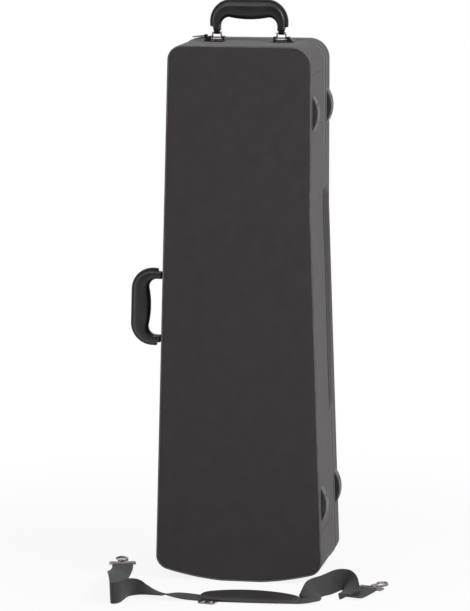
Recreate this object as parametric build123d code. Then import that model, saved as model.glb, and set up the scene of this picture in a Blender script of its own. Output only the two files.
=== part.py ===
from build123d import *
import math
import os

# Valve trombone case: a deep cloth-covered shell and a shallow rounded lid, closed by a zip.
# Millimetres. Z runs up the case as it stands, X from the carrying handle to the feet,
# Y from the flat front to the rounded back. The origin is on the flat of the bottom end.

# Driving dimensions of the case
HEIGHT = 954.5
TOP_LEFT_X = -126.5
TOP_RIGHT_X = 128.3
BOTTOM_LEFT_X = -151.0
BOTTOM_RIGHT_X = 150.8
FLARE_START_Z = 660.0
FRONT_Y = -114.0
PARTING_Y = 50.0
BACK_Y = 114.0
CORNER_TOP_LEFT = 26.0
CORNER_TOP_RIGHT = 36.0
CORNER_BOTTOM = 26.0
BACK_EDGE_RADIUS = 14.0
BOTTOM_BOW_RADIUS = 500.0
BOTTOM_BOW_X = 5.0
BOTTOM_BOW_CUT = 1.2

# Thicknesses of the layers, from the outside in
COVER = 2.4
SHELL = 6.0
LINING = 7.0
FRAME_IN = COVER
FRAME_OUT = COVER + SHELL
INSIDE = COVER + SHELL + LINING
PIPING_R = 2.0
FRONT_COVER = 2.6

# Rim, zip and cloth hinge
BINDING_Y = 31.0
TAPE_Y = 40.0
COIL_WIDTH = 3.0
COIL_GAP = 0.8
RIM_SETBACK = 6.0
LID_BINDING_Y = 56.0
LID_COVER_Y = 62.0
LID_FOOT_CLEARANCE = 1.0
HINGE_LOW_Z = 290.0
HINGE_HIGH_Z = 690.0
HINGE_HALF_WIDTH = 22.0
HINGE_TOP = (128.9, 920.0)
HINGE_BOTTOM = (150.9, 20.0)
SEAM_LOW_Z = 95.0
SEAM_HIGH_Z = 905.0

# Handles
HANDLE_Y = -10.0
HANDLE_HEIGHT = 75.5
HANDLE_HALF_SPAN = 70.5
FLANGE_WIDTH = 5.0
GRIP_HALF_DEPTH = 10.0
SIDE_HANDLE_Z = 475.0
WIRE_R = 1.75
PIN_CLEARANCE = 0.05
PIVOT_HEIGHT = 4.0

# Feet
FOOT_LENGTH = 62.0
FOOT_WIDTH = 27.0
FOOT_HEIGHT = 9.5
FOOT_HIGH_Z = 836.0
FOOT_LOW_Z = 141.0
BASE_FOOT_Y = -84.0
LID_FOOT_Y = 76.0

# Shoulder strap
WEB_WIDTH = 38.0
WEB_THICKNESS = 2.0
WEB_MID_Z = 4.2
PAD_LEFT = (-45.0, -249.5)
PAD_RIGHT = (135.0, -254.5)
PAD_END_WIDTHS = (41.0, 37.0)
PAD_REAR = (44.0, -208.0)
PAD_FRONT = (50.0, -281.0)
PAD_THICKNESS = 11.0
LEFT_EYE = (-229.0, -26.0)
LEFT_HEADING = 103.0
RIGHT_EYE = (239.0, -146.0)
RIGHT_HEADING = 65.0

NODES = {}


def keep(name, shape):
    """Store one sub-part under its node name."""
    NODES[name] = shape


# Outline of the case

def left_x(z):
    return TOP_LEFT_X + (BOTTOM_LEFT_X - TOP_LEFT_X) * (HEIGHT - z) / HEIGHT


def right_x(z):
    drop = max(0.0, FLARE_START_Z - z)
    return TOP_RIGHT_X + (BOTTOM_RIGHT_X - TOP_RIGHT_X) * drop / FLARE_START_Z


def bottom_z(x):
    centre_z = BOTTOM_BOW_RADIUS - BOTTOM_BOW_CUT
    return centre_z - math.sqrt(BOTTOM_BOW_RADIUS ** 2 - (x - BOTTOM_BOW_X) ** 2)


def bow_corner(wall_x):
    """Where a side wall's line meets the bowed bottom."""
    z = 0.0
    for _ in range(30):
        z = bottom_z(wall_x(z))
    return (wall_x(z), z)


def rounded(face, x, z, radius):
    """Round the corner of a face that lies nearest to a point."""
    corner = face.vertices().sort_by_distance((x, z, 0))[0]
    return fillet(corner, radius)


def make_outline():
    """The front outline, drawn with X across and the case's height up the page."""
    flat_half = math.sqrt(BOTTOM_BOW_RADIUS ** 2 - (BOTTOM_BOW_RADIUS - BOTTOM_BOW_CUT) ** 2)
    flat_left = BOTTOM_BOW_X - flat_half
    flat_right = BOTTOM_BOW_X + flat_half
    right_corner = bow_corner(right_x)
    left_corner = bow_corner(left_x)
    right_mid = (right_corner[0] + flat_right) / 2
    left_mid = (left_corner[0] + flat_left) / 2
    edges = [
        Line((TOP_LEFT_X, HEIGHT), (TOP_RIGHT_X, HEIGHT)),
        Line((TOP_RIGHT_X, HEIGHT), (TOP_RIGHT_X, FLARE_START_Z)),
        Line((TOP_RIGHT_X, FLARE_START_Z), right_corner),
        ThreePointArc(right_corner, (right_mid, bottom_z(right_mid)), (flat_right, 0)),
        Line((flat_right, 0), (flat_left, 0)),
        ThreePointArc((flat_left, 0), (left_mid, bottom_z(left_mid)), left_corner),
        Line(left_corner, (TOP_LEFT_X, HEIGHT)),
    ]
    face = make_face(edges)
    face = rounded(face, TOP_LEFT_X, HEIGHT, CORNER_TOP_LEFT)
    face = rounded(face, TOP_RIGHT_X, HEIGHT, CORNER_TOP_RIGHT)
    face = rounded(face, right_corner[0], right_corner[1], CORNER_BOTTOM)
    face = rounded(face, left_corner[0], left_corner[1], CORNER_BOTTOM)
    face = rounded(face, TOP_RIGHT_X, FLARE_START_Z, 300.0)
    face = rounded(face, flat_right, 0, 60.0)
    face = rounded(face, flat_left, 0, 60.0)
    return face


OUTLINE = make_outline()


def inset(amount):
    """The outline drawn inward by an amount."""
    return OUTLINE if amount == 0 else offset(OUTLINE, amount=-amount)


def slab(face, y_from, y_to):
    """A face of the outline given its depth in Y."""
    plane = Plane(origin=(0, y_to, 0), x_dir=(1, 0, 0), z_dir=(0, -1, 0))
    return extrude(plane * face, amount=y_to - y_from)


def band(outer, inner, y_from, y_to):
    """A ring that follows the outline between two insets."""
    return slab(inset(outer), y_from, y_to) - slab(inset(inner), y_from, y_to)


def block(x_from, x_to, y_from, y_to, z_from, z_to):
    size = (x_to - x_from, y_to - y_from, z_to - z_from)
    centre = ((x_from + x_to) / 2, (y_from + y_to) / 2, (z_from + z_to) / 2)
    return Pos(*centre) * Box(*size)


def rod(start, end, radius):
    """A round bar between two points."""
    axis = Vector(*end) - Vector(*start)
    plane = Plane(origin=start, z_dir=axis)
    return extrude(plane * Circle(radius), amount=axis.length)


def between(z_from, z_to):
    """A block that holds every part of the case between two heights."""
    return block(-200, 200, -150, 150, z_from, z_to)


# Places on the walls, each a plane with X along the wall and Z out of it
TOP_PLACE = Plane(origin=(0.9, HANDLE_Y, HEIGHT), x_dir=(1, 0, 0), z_dir=(0, 0, 1))
LEFT_TILT = math.atan2(TOP_LEFT_X - BOTTOM_LEFT_X, HEIGHT)
LEFT_UP = (math.sin(LEFT_TILT), 0, math.cos(LEFT_TILT))
LEFT_OUT = (-math.cos(LEFT_TILT), 0, math.sin(LEFT_TILT))
RIGHT_TILT = math.atan2(BOTTOM_RIGHT_X - TOP_RIGHT_X, FLARE_START_Z)


def left_place(y, z):
    return Plane(origin=(left_x(z), y, z), x_dir=LEFT_UP, z_dir=LEFT_OUT)


SIDE_PLACE = left_place(HANDLE_Y, SIDE_HANDLE_Z)


def foot_place(y, z):
    """A place on the feet side, with X up the wall."""
    tilt = RIGHT_TILT if z < FLARE_START_Z else 0.0
    up = (-math.sin(tilt), 0, math.cos(tilt))
    out = (math.cos(tilt), 0, math.sin(tilt))
    return Plane(origin=(right_x(z), y, z), x_dir=up, z_dir=out)


def put(place, shape):
    return place.location * shape


# Rivets, screws and the holes that they need

BRACKET_RIVET_U = 59.0
BRACKET_RIVET_V = 10.0
RIVET_R = 2.0
RIVET_HEAD_R = 3.4
TAB_RIVET_U = 16.0
TAB_RIVET_V = 8.0
RING_TAB_HEIGHTS = (800.0, 190.0)


def rivet(u, v, seat):
    """A domed rivet: its shank goes through cover and shell, its head sits on the seat."""
    shank = Pos(u, v, (seat - FRAME_OUT) / 2) * Cylinder(RIVET_R, seat + FRAME_OUT)
    head = Pos(u, v, seat + 0.6) * Cylinder(RIVET_HEAD_R, 1.2)
    rim = head.edges().group_by(Axis.Z)[-1]
    return shank + fillet(rim, 0.7)


def shank_hole(u, v):
    return Pos(u, v, 0) * Cylinder(RIVET_R, 30)


BRACKET_POINTS = [(side * BRACKET_RIVET_U, v) for side in (-1, 1) for v in (-BRACKET_RIVET_V, BRACKET_RIVET_V)]
TAB_POINTS = [(TAB_RIVET_U, v) for v in (-TAB_RIVET_V, TAB_RIVET_V)]
BRACKET_BASE = 2.0
TAB_BASE = 2.2

rivets = []
rivet_holes = []
for place in (TOP_PLACE, SIDE_PLACE):
    for u, v in BRACKET_POINTS:
        rivets.append(put(place, rivet(u, v, BRACKET_BASE)))
        rivet_holes.append(put(place, shank_hole(u, v)))
for z in RING_TAB_HEIGHTS:
    place = left_place(HANDLE_Y, z)
    for u, v in TAB_POINTS:
        rivets.append(put(place, rivet(u, v, TAB_BASE)))
        rivet_holes.append(put(place, shank_hole(u, v)))

FOOT_SCREW_U = 15.0
SCREW_R = 1.75
SCREW_HEAD_R = 3.5
SCREW_SEAT = 3.0


def foot_screw(u):
    shank = Pos(u, 0, (SCREW_SEAT - FRAME_OUT + 1) / 2) * Cylinder(SCREW_R, SCREW_SEAT + FRAME_OUT - 1)
    head = Pos(u, 0, SCREW_SEAT + 1.1) * Cylinder(SCREW_HEAD_R, 2.2)
    slot = Pos(u, 0, SCREW_SEAT + 2.0) * Box(6, 0.9, 1.2)
    return shank + head - slot


def screw_hole(u):
    return Pos(u, 0, -3) * Cylinder(SCREW_R, 12)


base_screws = []
lid_screws = []
base_screw_holes = []
lid_screw_holes = []
for z in (FOOT_HIGH_Z, FOOT_LOW_Z):
    for u in (-FOOT_SCREW_U, FOOT_SCREW_U):
        base_screws.append(put(foot_place(BASE_FOOT_Y, z), foot_screw(u)))
        lid_screws.append(put(foot_place(LID_FOOT_Y, z), foot_screw(u)))
        base_screw_holes.append(put(foot_place(BASE_FOOT_Y, z), screw_hole(u)))
        lid_screw_holes.append(put(foot_place(LID_FOOT_Y, z), screw_hole(u)))

wall_holes = rivet_holes + base_screw_holes


def pierced(shape, holes):
    """Cut a list of holes out of a wall."""
    for hole in holes:
        shape = shape - hole
    return shape


# Deep shell: board, wall frame, cover, piping and lining
BOARD_Y = FRONT_Y + FRONT_COVER
FLOOR_Y = BOARD_Y + SHELL
LINING_Y = FLOOR_Y + LINING
BASE_RIM_Y = PARTING_Y - RIM_SETBACK

keep("front_board", slab(inset(FRAME_IN), BOARD_Y, FLOOR_Y))
keep("base_wall_frame", pierced(band(FRAME_IN, FRAME_OUT, FLOOR_Y, BASE_RIM_Y), wall_holes))
keep("front_cover", slab(inset(2 * PIPING_R), FRONT_Y, BOARD_Y))

piping_y = BOARD_Y - PIPING_R
piping_plane = Plane(origin=(0, piping_y, 0), x_dir=(1, 0, 0), z_dir=(0, -1, 0))
piping_path = (piping_plane * inset(PIPING_R)).wire()
piping_start = piping_path @ 0
piping_section = Plane(origin=piping_start, z_dir=piping_path % 0) * Circle(PIPING_R)
keep("front_piping", sweep(piping_section, path=piping_path))

wall_cover = pierced(band(0, COVER, BOARD_Y, BINDING_Y), wall_holes)
keep("top_end_cover", wall_cover & between(SEAM_HIGH_Z, 1000))
keep("bottom_end_cover", wall_cover & between(-10, SEAM_LOW_Z))
side_cover = wall_cover & between(SEAM_LOW_Z, SEAM_HIGH_Z)
keep("handle_side_cover", side_cover & block(-200, 0, -150, 150, 0, 1000))
keep("foot_side_cover", side_cover & block(0, 200, -150, 150, 0, 1000))
keep("base_rim_binding", band(0, COVER, BINDING_Y, TAPE_Y))

# Zip: tape and coil of each half run round the case except along the cloth hinge
hinge_gap = block(100, 200, -150, 150, HINGE_LOW_Z, HINGE_HIGH_Z)
base_coil_y = PARTING_Y - COIL_GAP - COIL_WIDTH
lid_coil_y = PARTING_Y + COIL_GAP
lifted = between(LID_FOOT_CLEARANCE, 1000)
keep("base_zip_tape", band(0.8, 1.8, TAPE_Y, base_coil_y) - hinge_gap)
keep("base_zip_coil", band(0.2, 3.0, base_coil_y, base_coil_y + COIL_WIDTH) - hinge_gap)
keep("lid_zip_tape", (band(0.8, 1.8, lid_coil_y + COIL_WIDTH, LID_BINDING_Y) - hinge_gap) & lifted)
keep("lid_zip_coil", (band(0.2, 3.0, lid_coil_y, lid_coil_y + COIL_WIDTH) - hinge_gap) & lifted)


# Cloth hinge: each leaf is a padded wedge from the wall out to the fold line

def hinge_x(z):
    slope = (HINGE_BOTTOM[0] - HINGE_TOP[0]) / (HINGE_TOP[1] - HINGE_BOTTOM[1])
    return HINGE_TOP[0] + slope * (HINGE_TOP[1] - z)


def hinge_leaf(side):
    """One leaf, on the base side (-1) or the lid side (1) of the parting line."""
    seam_y = PARTING_Y + side * HINGE_HALF_WIDTH
    fold_y = PARTING_Y + side * 0.4
    rim_y = PARTING_Y + side * RIM_SETBACK
    leaf = None
    heights = (HINGE_LOW_Z, FLARE_START_Z - 6, FLARE_START_Z + 6, HINGE_HIGH_Z)
    for low, high in zip(heights[:-1], heights[1:]):
        sections = []
        for z in (low, high):
            wall = right_x(z)
            fold = hinge_x(z)
            points = [(wall + 0.1, seam_y, z), (fold, fold_y, z), (wall - 0.8, fold_y, z), (wall - 0.8, rim_y, z),
                      (wall + 0.1, rim_y, z)]
            sections.append(make_face(Polyline(*points, close=True)))
        piece = loft(sections, ruled=True)
        leaf = piece if leaf is None else leaf + piece
    return leaf


keep("base_hinge_leaf", hinge_leaf(-1))
keep("lid_hinge_leaf", hinge_leaf(1) & lifted)

# Backing plates inside the wall, under the handle rivets
PLATE_THICKNESS = 1.5
plates = []
plate_pockets = []
for place in (TOP_PLACE, SIDE_PLACE):
    for side in (-1, 1):
        plate = Pos(side * BRACKET_RIVET_U, 0, -FRAME_OUT - PLATE_THICKNESS / 2) * Box(20, 30, PLATE_THICKNESS)
        plates.append(put(place, plate))
        plate_pockets.append(put(place, plate))
keep("handle_backing_plates", Compound(children=[p.solid() for p in plates]))

tray_walls = band(FRAME_OUT, INSIDE, LINING_Y, BASE_RIM_Y)
tray_floor = slab(inset(FRAME_OUT), FLOOR_Y, LINING_Y)
keep("base_lining", pierced(tray_walls + tray_floor, plate_pockets))

# Lid: a shallow shell with a rounded back


def lid_body(amount, y_from):
    """The lid's outer form drawn inward by an amount, with its back edges rounded."""
    form = slab(inset(amount), y_from, BACK_Y - amount)
    radius = BACK_EDGE_RADIUS - amount
    if radius > 1:
        form = fillet(form.edges().group_by(Axis.Y)[-1], radius)
    return form


lid_shell = lid_body(FRAME_IN, PARTING_Y + RIM_SETBACK) - lid_body(FRAME_OUT, PARTING_Y + RIM_SETBACK)
keep("lid_shell", pierced(lid_shell, lid_screw_holes) & lifted)
lid_cover = (lid_body(0, LID_COVER_Y) - lid_body(COVER, LID_COVER_Y)) & lifted
keep("lid_cover", pierced(lid_cover, lid_screw_holes))
keep("lid_rim_binding", band(0, COVER, LID_BINDING_Y, LID_COVER_Y) & lifted)
keep("lid_lining", lid_body(FRAME_OUT, PARTING_Y + RIM_SETBACK) - slab(inset(INSIDE), PARTING_Y + RIM_SETBACK, BACK_Y - INSIDE))


# Feet: half-moon bumpers with a flange, screwed to the feet side

def foot():
    """A bumper whose profile is an arc of a circle, with softened edges and two screw wells."""
    half = FOOT_LENGTH / 2
    arc = ThreePointArc((-half, 0), (0, FOOT_HEIGHT), (half, 0))
    profile = make_face([arc, Line((half, 0), (-half, 0))])
    body = extrude(Plane.XZ * profile, amount=FOOT_WIDTH / 2, both=True)
    dome = [e for e in body.edges() if abs(e.center().Y) > FOOT_WIDTH / 2 - 0.1 and e.center().Z > 0.5]
    body = fillet(dome, 2.4)
    for u in (-FOOT_SCREW_U, FOOT_SCREW_U):
        body = body - Pos(u, 0, 0) * Cylinder(SCREW_R, 40)
        body = body - Pos(u, 0, SCREW_SEAT + 10) * Cylinder(SCREW_HEAD_R, 20)
    return body


for height, z in (("top", FOOT_HIGH_Z), ("bottom", FOOT_LOW_Z)):
    keep("base_foot_" + height, put(foot_place(BASE_FOOT_Y, z), foot()))
    keep("lid_foot_" + height, put(foot_place(LID_FOOT_Y, z), foot()))
keep("base_foot_screws", Compound(children=[s.solid() for s in base_screws]))
keep("lid_foot_screws", Compound(children=[s.solid() for s in lid_screws]))


# Handles: a moulded grip with a stitched flange, hung on two steel rings in brackets
LEG_INNER = 50.5
LEG_FOOT = 18.5
RING_TOP = 15.5
RING_INNER = 50.2
RING_OUTER = 65.8


def handle_grip():
    """The grip: an arch with a palm swell, and a tongue at each leg's end round the ring."""
    top = HANDLE_HEIGHT - FLANGE_WIDTH
    side = HANDLE_HALF_SPAN - FLANGE_WIDTH
    edges = [
        Polyline((-LEG_INNER, LEG_FOOT), (-side + 1, LEG_FOOT), (-side, 40), (-side, top), (side, top), (side, 40),
                 (side - 1, LEG_FOOT), (LEG_INNER, LEG_FOOT), (LEG_INNER, 46.5), (38, 46.5)),
        ThreePointArc((38, 46.5), (0, 42.0), (-38, 46.5)),
        Line((-38, 46.5), (-LEG_INNER, 46.5)),
        Line((-LEG_INNER, 46.5), (-LEG_INNER, LEG_FOOT)),
    ]
    face = make_face(edges)
    for sign in (-1, 1):
        face = rounded(face, sign * side, top, 25.0)
        face = rounded(face, sign * LEG_INNER, 46.5, 9.0)
    body = extrude(Plane.XZ * face, amount=GRIP_HALF_DEPTH, both=True)
    rims = [e for e in body.edges() if abs(e.center().Y) > GRIP_HALF_DEPTH - 0.1]
    body = fillet(rims, 6.0)
    for sign in (-1, 1):
        tongue = Pos(sign * 58, 0, (LEG_FOOT + 12.6) / 2 + 1) * Box(11, 8, LEG_FOOT - 12.6 + 2)
        body = body + tongue
        body = body - Pos(sign * 58, 0, RING_TOP) * Rot(0, 90, 0) * Cylinder(WIRE_R + PIN_CLEARANCE, 16)
    return body


def arch_face(side, top, foot_z, radius):
    face = make_face(Polyline((-side, foot_z), (-side, top), (side, top), (side, foot_z), close=True))
    for sign in (-1, 1):
        face = rounded(face, sign * side, top, radius)
    return face


def handle_flange():
    """The flat sewn edge of the leather, a band round the outside of the grip."""
    outer = arch_face(HANDLE_HALF_SPAN, HANDLE_HEIGHT, 26, 30.0)
    inner = arch_face(HANDLE_HALF_SPAN - FLANGE_WIDTH, HANDLE_HEIGHT - FLANGE_WIDTH, 20, 25.0)
    return extrude(Plane.XZ * (outer - inner), amount=1.5, both=True)


def handle_ring(sign):
    """A steel ring; its lower bar runs on as a pin into the bracket's two posts."""
    ends = [(sign * RING_INNER, 0), (sign * RING_OUTER, 0)]
    ring = rod((sign * 45.5, 0, PIVOT_HEIGHT), (sign * 70.5, 0, PIVOT_HEIGHT), WIRE_R)
    ring = ring + rod((ends[0][0], 0, RING_TOP), (ends[1][0], 0, RING_TOP), WIRE_R)
    for x, _ in ends:
        ring = ring + rod((x, 0, PIVOT_HEIGHT), (x, 0, RING_TOP), WIRE_R)
        ring = ring + Pos(x, 0, RING_TOP) * Sphere(WIRE_R)
    return ring


def handle_bracket(sign):
    """A bracket: base plate, two posts that hold the ring's pin, and a sloped outer fin."""
    def span(u_from, u_to, half, w_from, w_to):
        low, high = sorted((sign * u_from, sign * u_to))
        return block(low, high, -half, half, w_from, w_to)
    plate = span(44, 81, 13.5, 0, BRACKET_BASE)
    plate = fillet(plate.edges().filter_by(Axis.Z), 3.0)
    inner = span(44, 47.6, 7, BRACKET_BASE, 9.5)
    outer = span(68.4, 72, 7, BRACKET_BASE, 9.5)
    fin = make_face(Polyline((72, 9.5), (72, BRACKET_BASE), (80, BRACKET_BASE), close=True))
    fin = extrude(Plane.XZ * fin, amount=7, both=True)
    if sign < 0:
        fin = mirror(fin, about=Plane.YZ)
    body = plate + inner + outer + fin
    body = body - rod((sign * 45.2, 0, PIVOT_HEIGHT), (sign * 70.8, 0, PIVOT_HEIGHT), WIRE_R + PIN_CLEARANCE)
    for v in (-BRACKET_RIVET_V, BRACKET_RIVET_V):
        body = body - Pos(sign * BRACKET_RIVET_U, v, 0) * Cylinder(RIVET_R, 10)
    return body


for name, place in (("top", TOP_PLACE), ("side", SIDE_PLACE)):
    keep(name + "_handle_grip", put(place, handle_grip()))
    keep(name + "_handle_flange", put(place, handle_flange()))
    rings = [put(place, handle_ring(sign)) for sign in (-1, 1)]
    keep(name + "_handle_rings", Compound(children=[r.solid() for r in rings]))
    brackets = [put(place, handle_bracket(sign)) for sign in (-1, 1)]
    keep(name + "_handle_brackets", Compound(children=[b.solid() for b in brackets]))
keep("case_rivets", Compound(children=[r.solid() for r in rivets]))

# Strap rings: a riveted tab with a tube, and a D-shaped ring that hangs in it
TUBE_LIFT = 4.0
TUBE_R = 3.6
RING_R = 2.0
D_HALF = 17.0


def ring_tab():
    plate = Pos(17, 0, TAB_BASE / 2) * Box(30, 26, TAB_BASE)
    plate = fillet(plate.edges().filter_by(Axis.Z).sort_by(Axis.X)[-2:], 6.0)
    tube = Pos(0, 0, TUBE_LIFT) * Rot(90, 0, 0) * Cylinder(TUBE_R, 26)
    bridge = Pos(2.5, 0, 1.6) * Box(5, 26, 3.2)
    body = plate + tube + bridge - Pos(0, 0, TUBE_LIFT) * Rot(90, 0, 0) * Cylinder(RING_R + PIN_CLEARANCE, 40)
    for u, v in TAB_POINTS:
        body = body - Pos(u, v, 0) * Cylinder(RIVET_R, 12)
    return body


def d_ring():
    """A straight bar closed by a half circle of the same wire, lying along the wall."""
    bow = [Line((0, D_HALF), (-4, D_HALF)), ThreePointArc((-4, D_HALF), (-4 - D_HALF, 0), (-4, -D_HALF)),
           Line((-4, -D_HALF), (0, -D_HALF))]
    wire_bar = rod((0, -D_HALF, 0), (0, D_HALF, 0), RING_R)
    path = Wire(bow[0].edges() + bow[1].edges() + bow[2].edges())
    section = Plane(origin=path @ 0, z_dir=path % 0) * Circle(RING_R)
    ring = wire_bar + sweep(section, path=path)
    for sign in (-1, 1):
        ring = ring + Pos(0, sign * D_HALF, 0) * Sphere(RING_R)
    return Pos(0, 0, TUBE_LIFT) * ring


ring_places = [left_place(HANDLE_Y, z) for z in RING_TAB_HEIGHTS]
keep("ring_tabs", Compound(children=[put(place, ring_tab()).solid() for place in ring_places]))
for name, place in zip(("upper", "lower"), ring_places):
    keep("strap_ring_" + name, put(place, d_ring()))

# Zip sliders: plates above and below the coils joined by a web, with lugs for the pull
SLIDER_LENGTH = 16.0
SLIDER_WIDTH = 11.0
LUG_PIN_HEIGHT = 5.5
LUG_PIN_R = 0.9
TOP_SLIDER_X = -88.0
SIDE_SLIDER_Z = 850.0
TOP_PULL_DROOP = 7.0
SIDE_PULL_DROOP = 3.0


def zip_slider():
    cap = Pos(0, 0, 1.3) * Box(SLIDER_LENGTH, SLIDER_WIDTH, 2.0)
    cap = fillet(cap.edges().filter_by(Axis.Z), 3.0)
    web = Pos(4, 0, -2.2) * Box(6, 1.0, 6.0)
    sole = Pos(0, 0, -4.8) * Box(SLIDER_LENGTH, SLIDER_WIDTH - 2, 1.4)
    body = cap + web + sole
    for sign in (-1, 1):
        lug = Pos(0, sign * 3.0, 4.5) * Box(6, 1.4, 5.0)
        body = body + lug
    return body + Pos(0, 0, LUG_PIN_HEIGHT) * Rot(90, 0, 0) * Cylinder(LUG_PIN_R, 6.0)


def zip_pull(droop):
    """A flat tab with an eye round the slider's pin, lying back along the zip."""
    eye = Rot(90, 0, 0) * Cylinder(2.2, 4.0)
    neck = Pos(-3.5, 0, 0) * Box(5, 4, 1.7)
    tab = Pos(-15, 0, 0) * Box(19, 9, 1.7)
    tab = fillet(tab.edges().filter_by(Axis.Z), 2.5)
    hole = Pos(-20, 0, 0) * Cylinder(1.6, 5)
    body = eye + neck + tab - hole - Rot(90, 0, 0) * Cylinder(LUG_PIN_R + PIN_CLEARANCE, 6)
    return Pos(0, 0, LUG_PIN_HEIGHT) * Rot(0, -droop, 0) * body


TOP_SLIDER_PLACE = Plane(origin=(TOP_SLIDER_X, PARTING_Y, HEIGHT), x_dir=(1, 0, 0), z_dir=(0, 0, 1))
SIDE_SLIDER_PLACE = left_place(PARTING_Y, SIDE_SLIDER_Z)
SLIDERS = (("top", TOP_SLIDER_PLACE, TOP_PULL_DROOP), ("side", SIDE_SLIDER_PLACE, SIDE_PULL_DROOP))
for name, place, droop in SLIDERS:
    keep("zip_slider_" + name, put(place, zip_slider()))
    keep("zip_pull_" + name, put(place, zip_pull(droop)))

# Inside: foam cradles for the bell, the valves and the tubes, cut from blocks that fill the tray
CRADLE_TOP_Y = 8.0
BELL_TUBE_X = -48.0
SLIDE_TUBE_X = 30.0
TUBE_CHANNEL_R = 15.0
BELL_NECK_R = 40.0


def cradle(z_from, z_to, y_top, channels):
    """A foam block across the tray with round-bottomed channels that run up the case."""
    body = slab(inset(INSIDE), LINING_Y, y_top) & between(z_from, z_to)
    for x, radius in channels:
        body = body - Pos(x, y_top, (z_from + z_to) / 2) * Cylinder(radius, z_to - z_from + 20)
    return body


keep("bell_cradle", cradle(262, 312, CRADLE_TOP_Y, [(BELL_TUBE_X, BELL_NECK_R), (SLIDE_TUBE_X, TUBE_CHANNEL_R)]))
valve_block = cradle(470, 600, CRADLE_TOP_Y, [(BELL_TUBE_X - 40, TUBE_CHANNEL_R)])
keep("valve_cradle", valve_block - block(-66, 48, -60, 20, 460, 610))
keep("tube_rest", cradle(830, 870, CRADLE_TOP_Y, [(BELL_TUBE_X, TUBE_CHANNEL_R), (SLIDE_TUBE_X, TUBE_CHANNEL_R)]))

BOX_LEFT = 52.0
BOX_RIGHT = 112.5
BOX_LOW = 662.0
BOX_HIGH = 800.0
BOX_TOP_Y = -22.0
BOX_WALL = 4.0
LID_PIN_X = 48.5
LID_PIN_Y = -20.0
LID_PIN_R = 1.5
box_body = block(BOX_LEFT, BOX_RIGHT, LINING_Y, BOX_TOP_Y, BOX_LOW, BOX_HIGH)
box_body = box_body - block(BOX_LEFT + BOX_WALL, BOX_RIGHT - BOX_WALL, LINING_Y + BOX_WALL, 0, BOX_LOW + BOX_WALL,
                            BOX_HIGH - BOX_WALL)
for z in (BOX_LOW, BOX_HIGH - 8):
    lug = block(LID_PIN_X - 3, BOX_LEFT, LID_PIN_Y - 8, LID_PIN_Y + 3, z, z + 8)
    box_body = box_body + lug
pin_hole = rod((LID_PIN_X, LID_PIN_Y, BOX_LOW - 1), (LID_PIN_X, LID_PIN_Y, BOX_HIGH + 1), LID_PIN_R)
keep("accessory_box", box_body - pin_hole)
keep("accessory_lid_pin", rod((LID_PIN_X, LID_PIN_Y, BOX_LOW), (LID_PIN_X, LID_PIN_Y, BOX_HIGH), LID_PIN_R))
barrel = rod((LID_PIN_X, LID_PIN_Y, BOX_LOW + 9), (LID_PIN_X, LID_PIN_Y, BOX_HIGH - 9), 2.9)
lid_plate = block(LID_PIN_X, BOX_RIGHT - 1, BOX_TOP_Y + 0.4, BOX_TOP_Y + 3.4, BOX_LOW + 9, BOX_HIGH - 9)
lid_bore = rod((LID_PIN_X, LID_PIN_Y, BOX_LOW), (LID_PIN_X, LID_PIN_Y, BOX_HIGH), LID_PIN_R + PIN_CLEARANCE)
keep("accessory_lid", barrel + lid_plate - lid_bore)

mouthpiece_block = block(-110, -68, LINING_Y, -42, 680, 760)
for z in (700, 740):
    mouthpiece_block = mouthpiece_block - Pos(-89, -42, z) * Rot(90, 0, 0) * Cylinder(13.5, 100)
keep("mouthpiece_block", mouthpiece_block)


# Shoulder strap on the floor: two lengths of webbing, a pad, an adjuster and two snap hooks

def blend_points(points, steps):
    """Quadratic B-spline through a control list, clamped at both ends, as sampled rows."""
    count = len(points)
    rows = []
    for span in range(count - 2):
        last = span == count - 3
        for step in range(steps + (1 if last else 0)):
            t = step / steps
            start = points[span] if span == 0 else [(a + b) / 2 for a, b in zip(points[span], points[span + 1])]
            end = points[span + 2] if last else [(a + b) / 2 for a, b in zip(points[span + 1], points[span + 2])]
            mid = points[span + 1]
            rows.append([(1 - t) ** 2 * s + 2 * t * (1 - t) * m + t ** 2 * e for s, m, e in zip(start, mid, end)])
    return rows


def width_vector(turn, lift):
    """The direction across the webbing, from its turn about Z and its lift off the floor."""
    return (math.cos(math.radians(turn)) * math.cos(math.radians(lift)),
            math.sin(math.radians(turn)) * math.cos(math.radians(lift)), math.sin(math.radians(lift)))


def bend_radius(before, here, after):
    """The radius of the circle through three points."""
    first = here - before
    second = after - here
    twice_area = first.cross(second).length
    return first.length * second.length * (after - before).length / (2 * max(twice_area, 0.001))


def webbing(route):
    """Webbing along a route of x, y, z, turn and lift: a ruled loft of flat sections."""
    rows = blend_points([(x, y, z) + width_vector(turn, lift) for x, y, z, turn, lift in route], 3)
    sections = []
    length = 0.0
    radii = []
    for index, row in enumerate(rows):
        here = Vector(*row[:3])
        before = Vector(*rows[max(index - 1, 0)][:3])
        after = Vector(*rows[min(index + 1, len(rows) - 1)][:3])
        length += (here - before).length
        if 0 < index < len(rows) - 1:
            radii.append(bend_radius(before, here, after))
        along = (after - before).normalized()
        across = Vector(*row[3:])
        across = (across - along * across.dot(along)).normalized()
        plane = Plane(origin=here, x_dir=across, z_dir=along)
        sections.append(plane * Rectangle(WEB_WIDTH, WEB_THICKNESS))
    print("webbing length", round(length, 1), "bend radii", [round(radius, 1) for radius in radii])
    return loft(sections, ruled=True)


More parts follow.
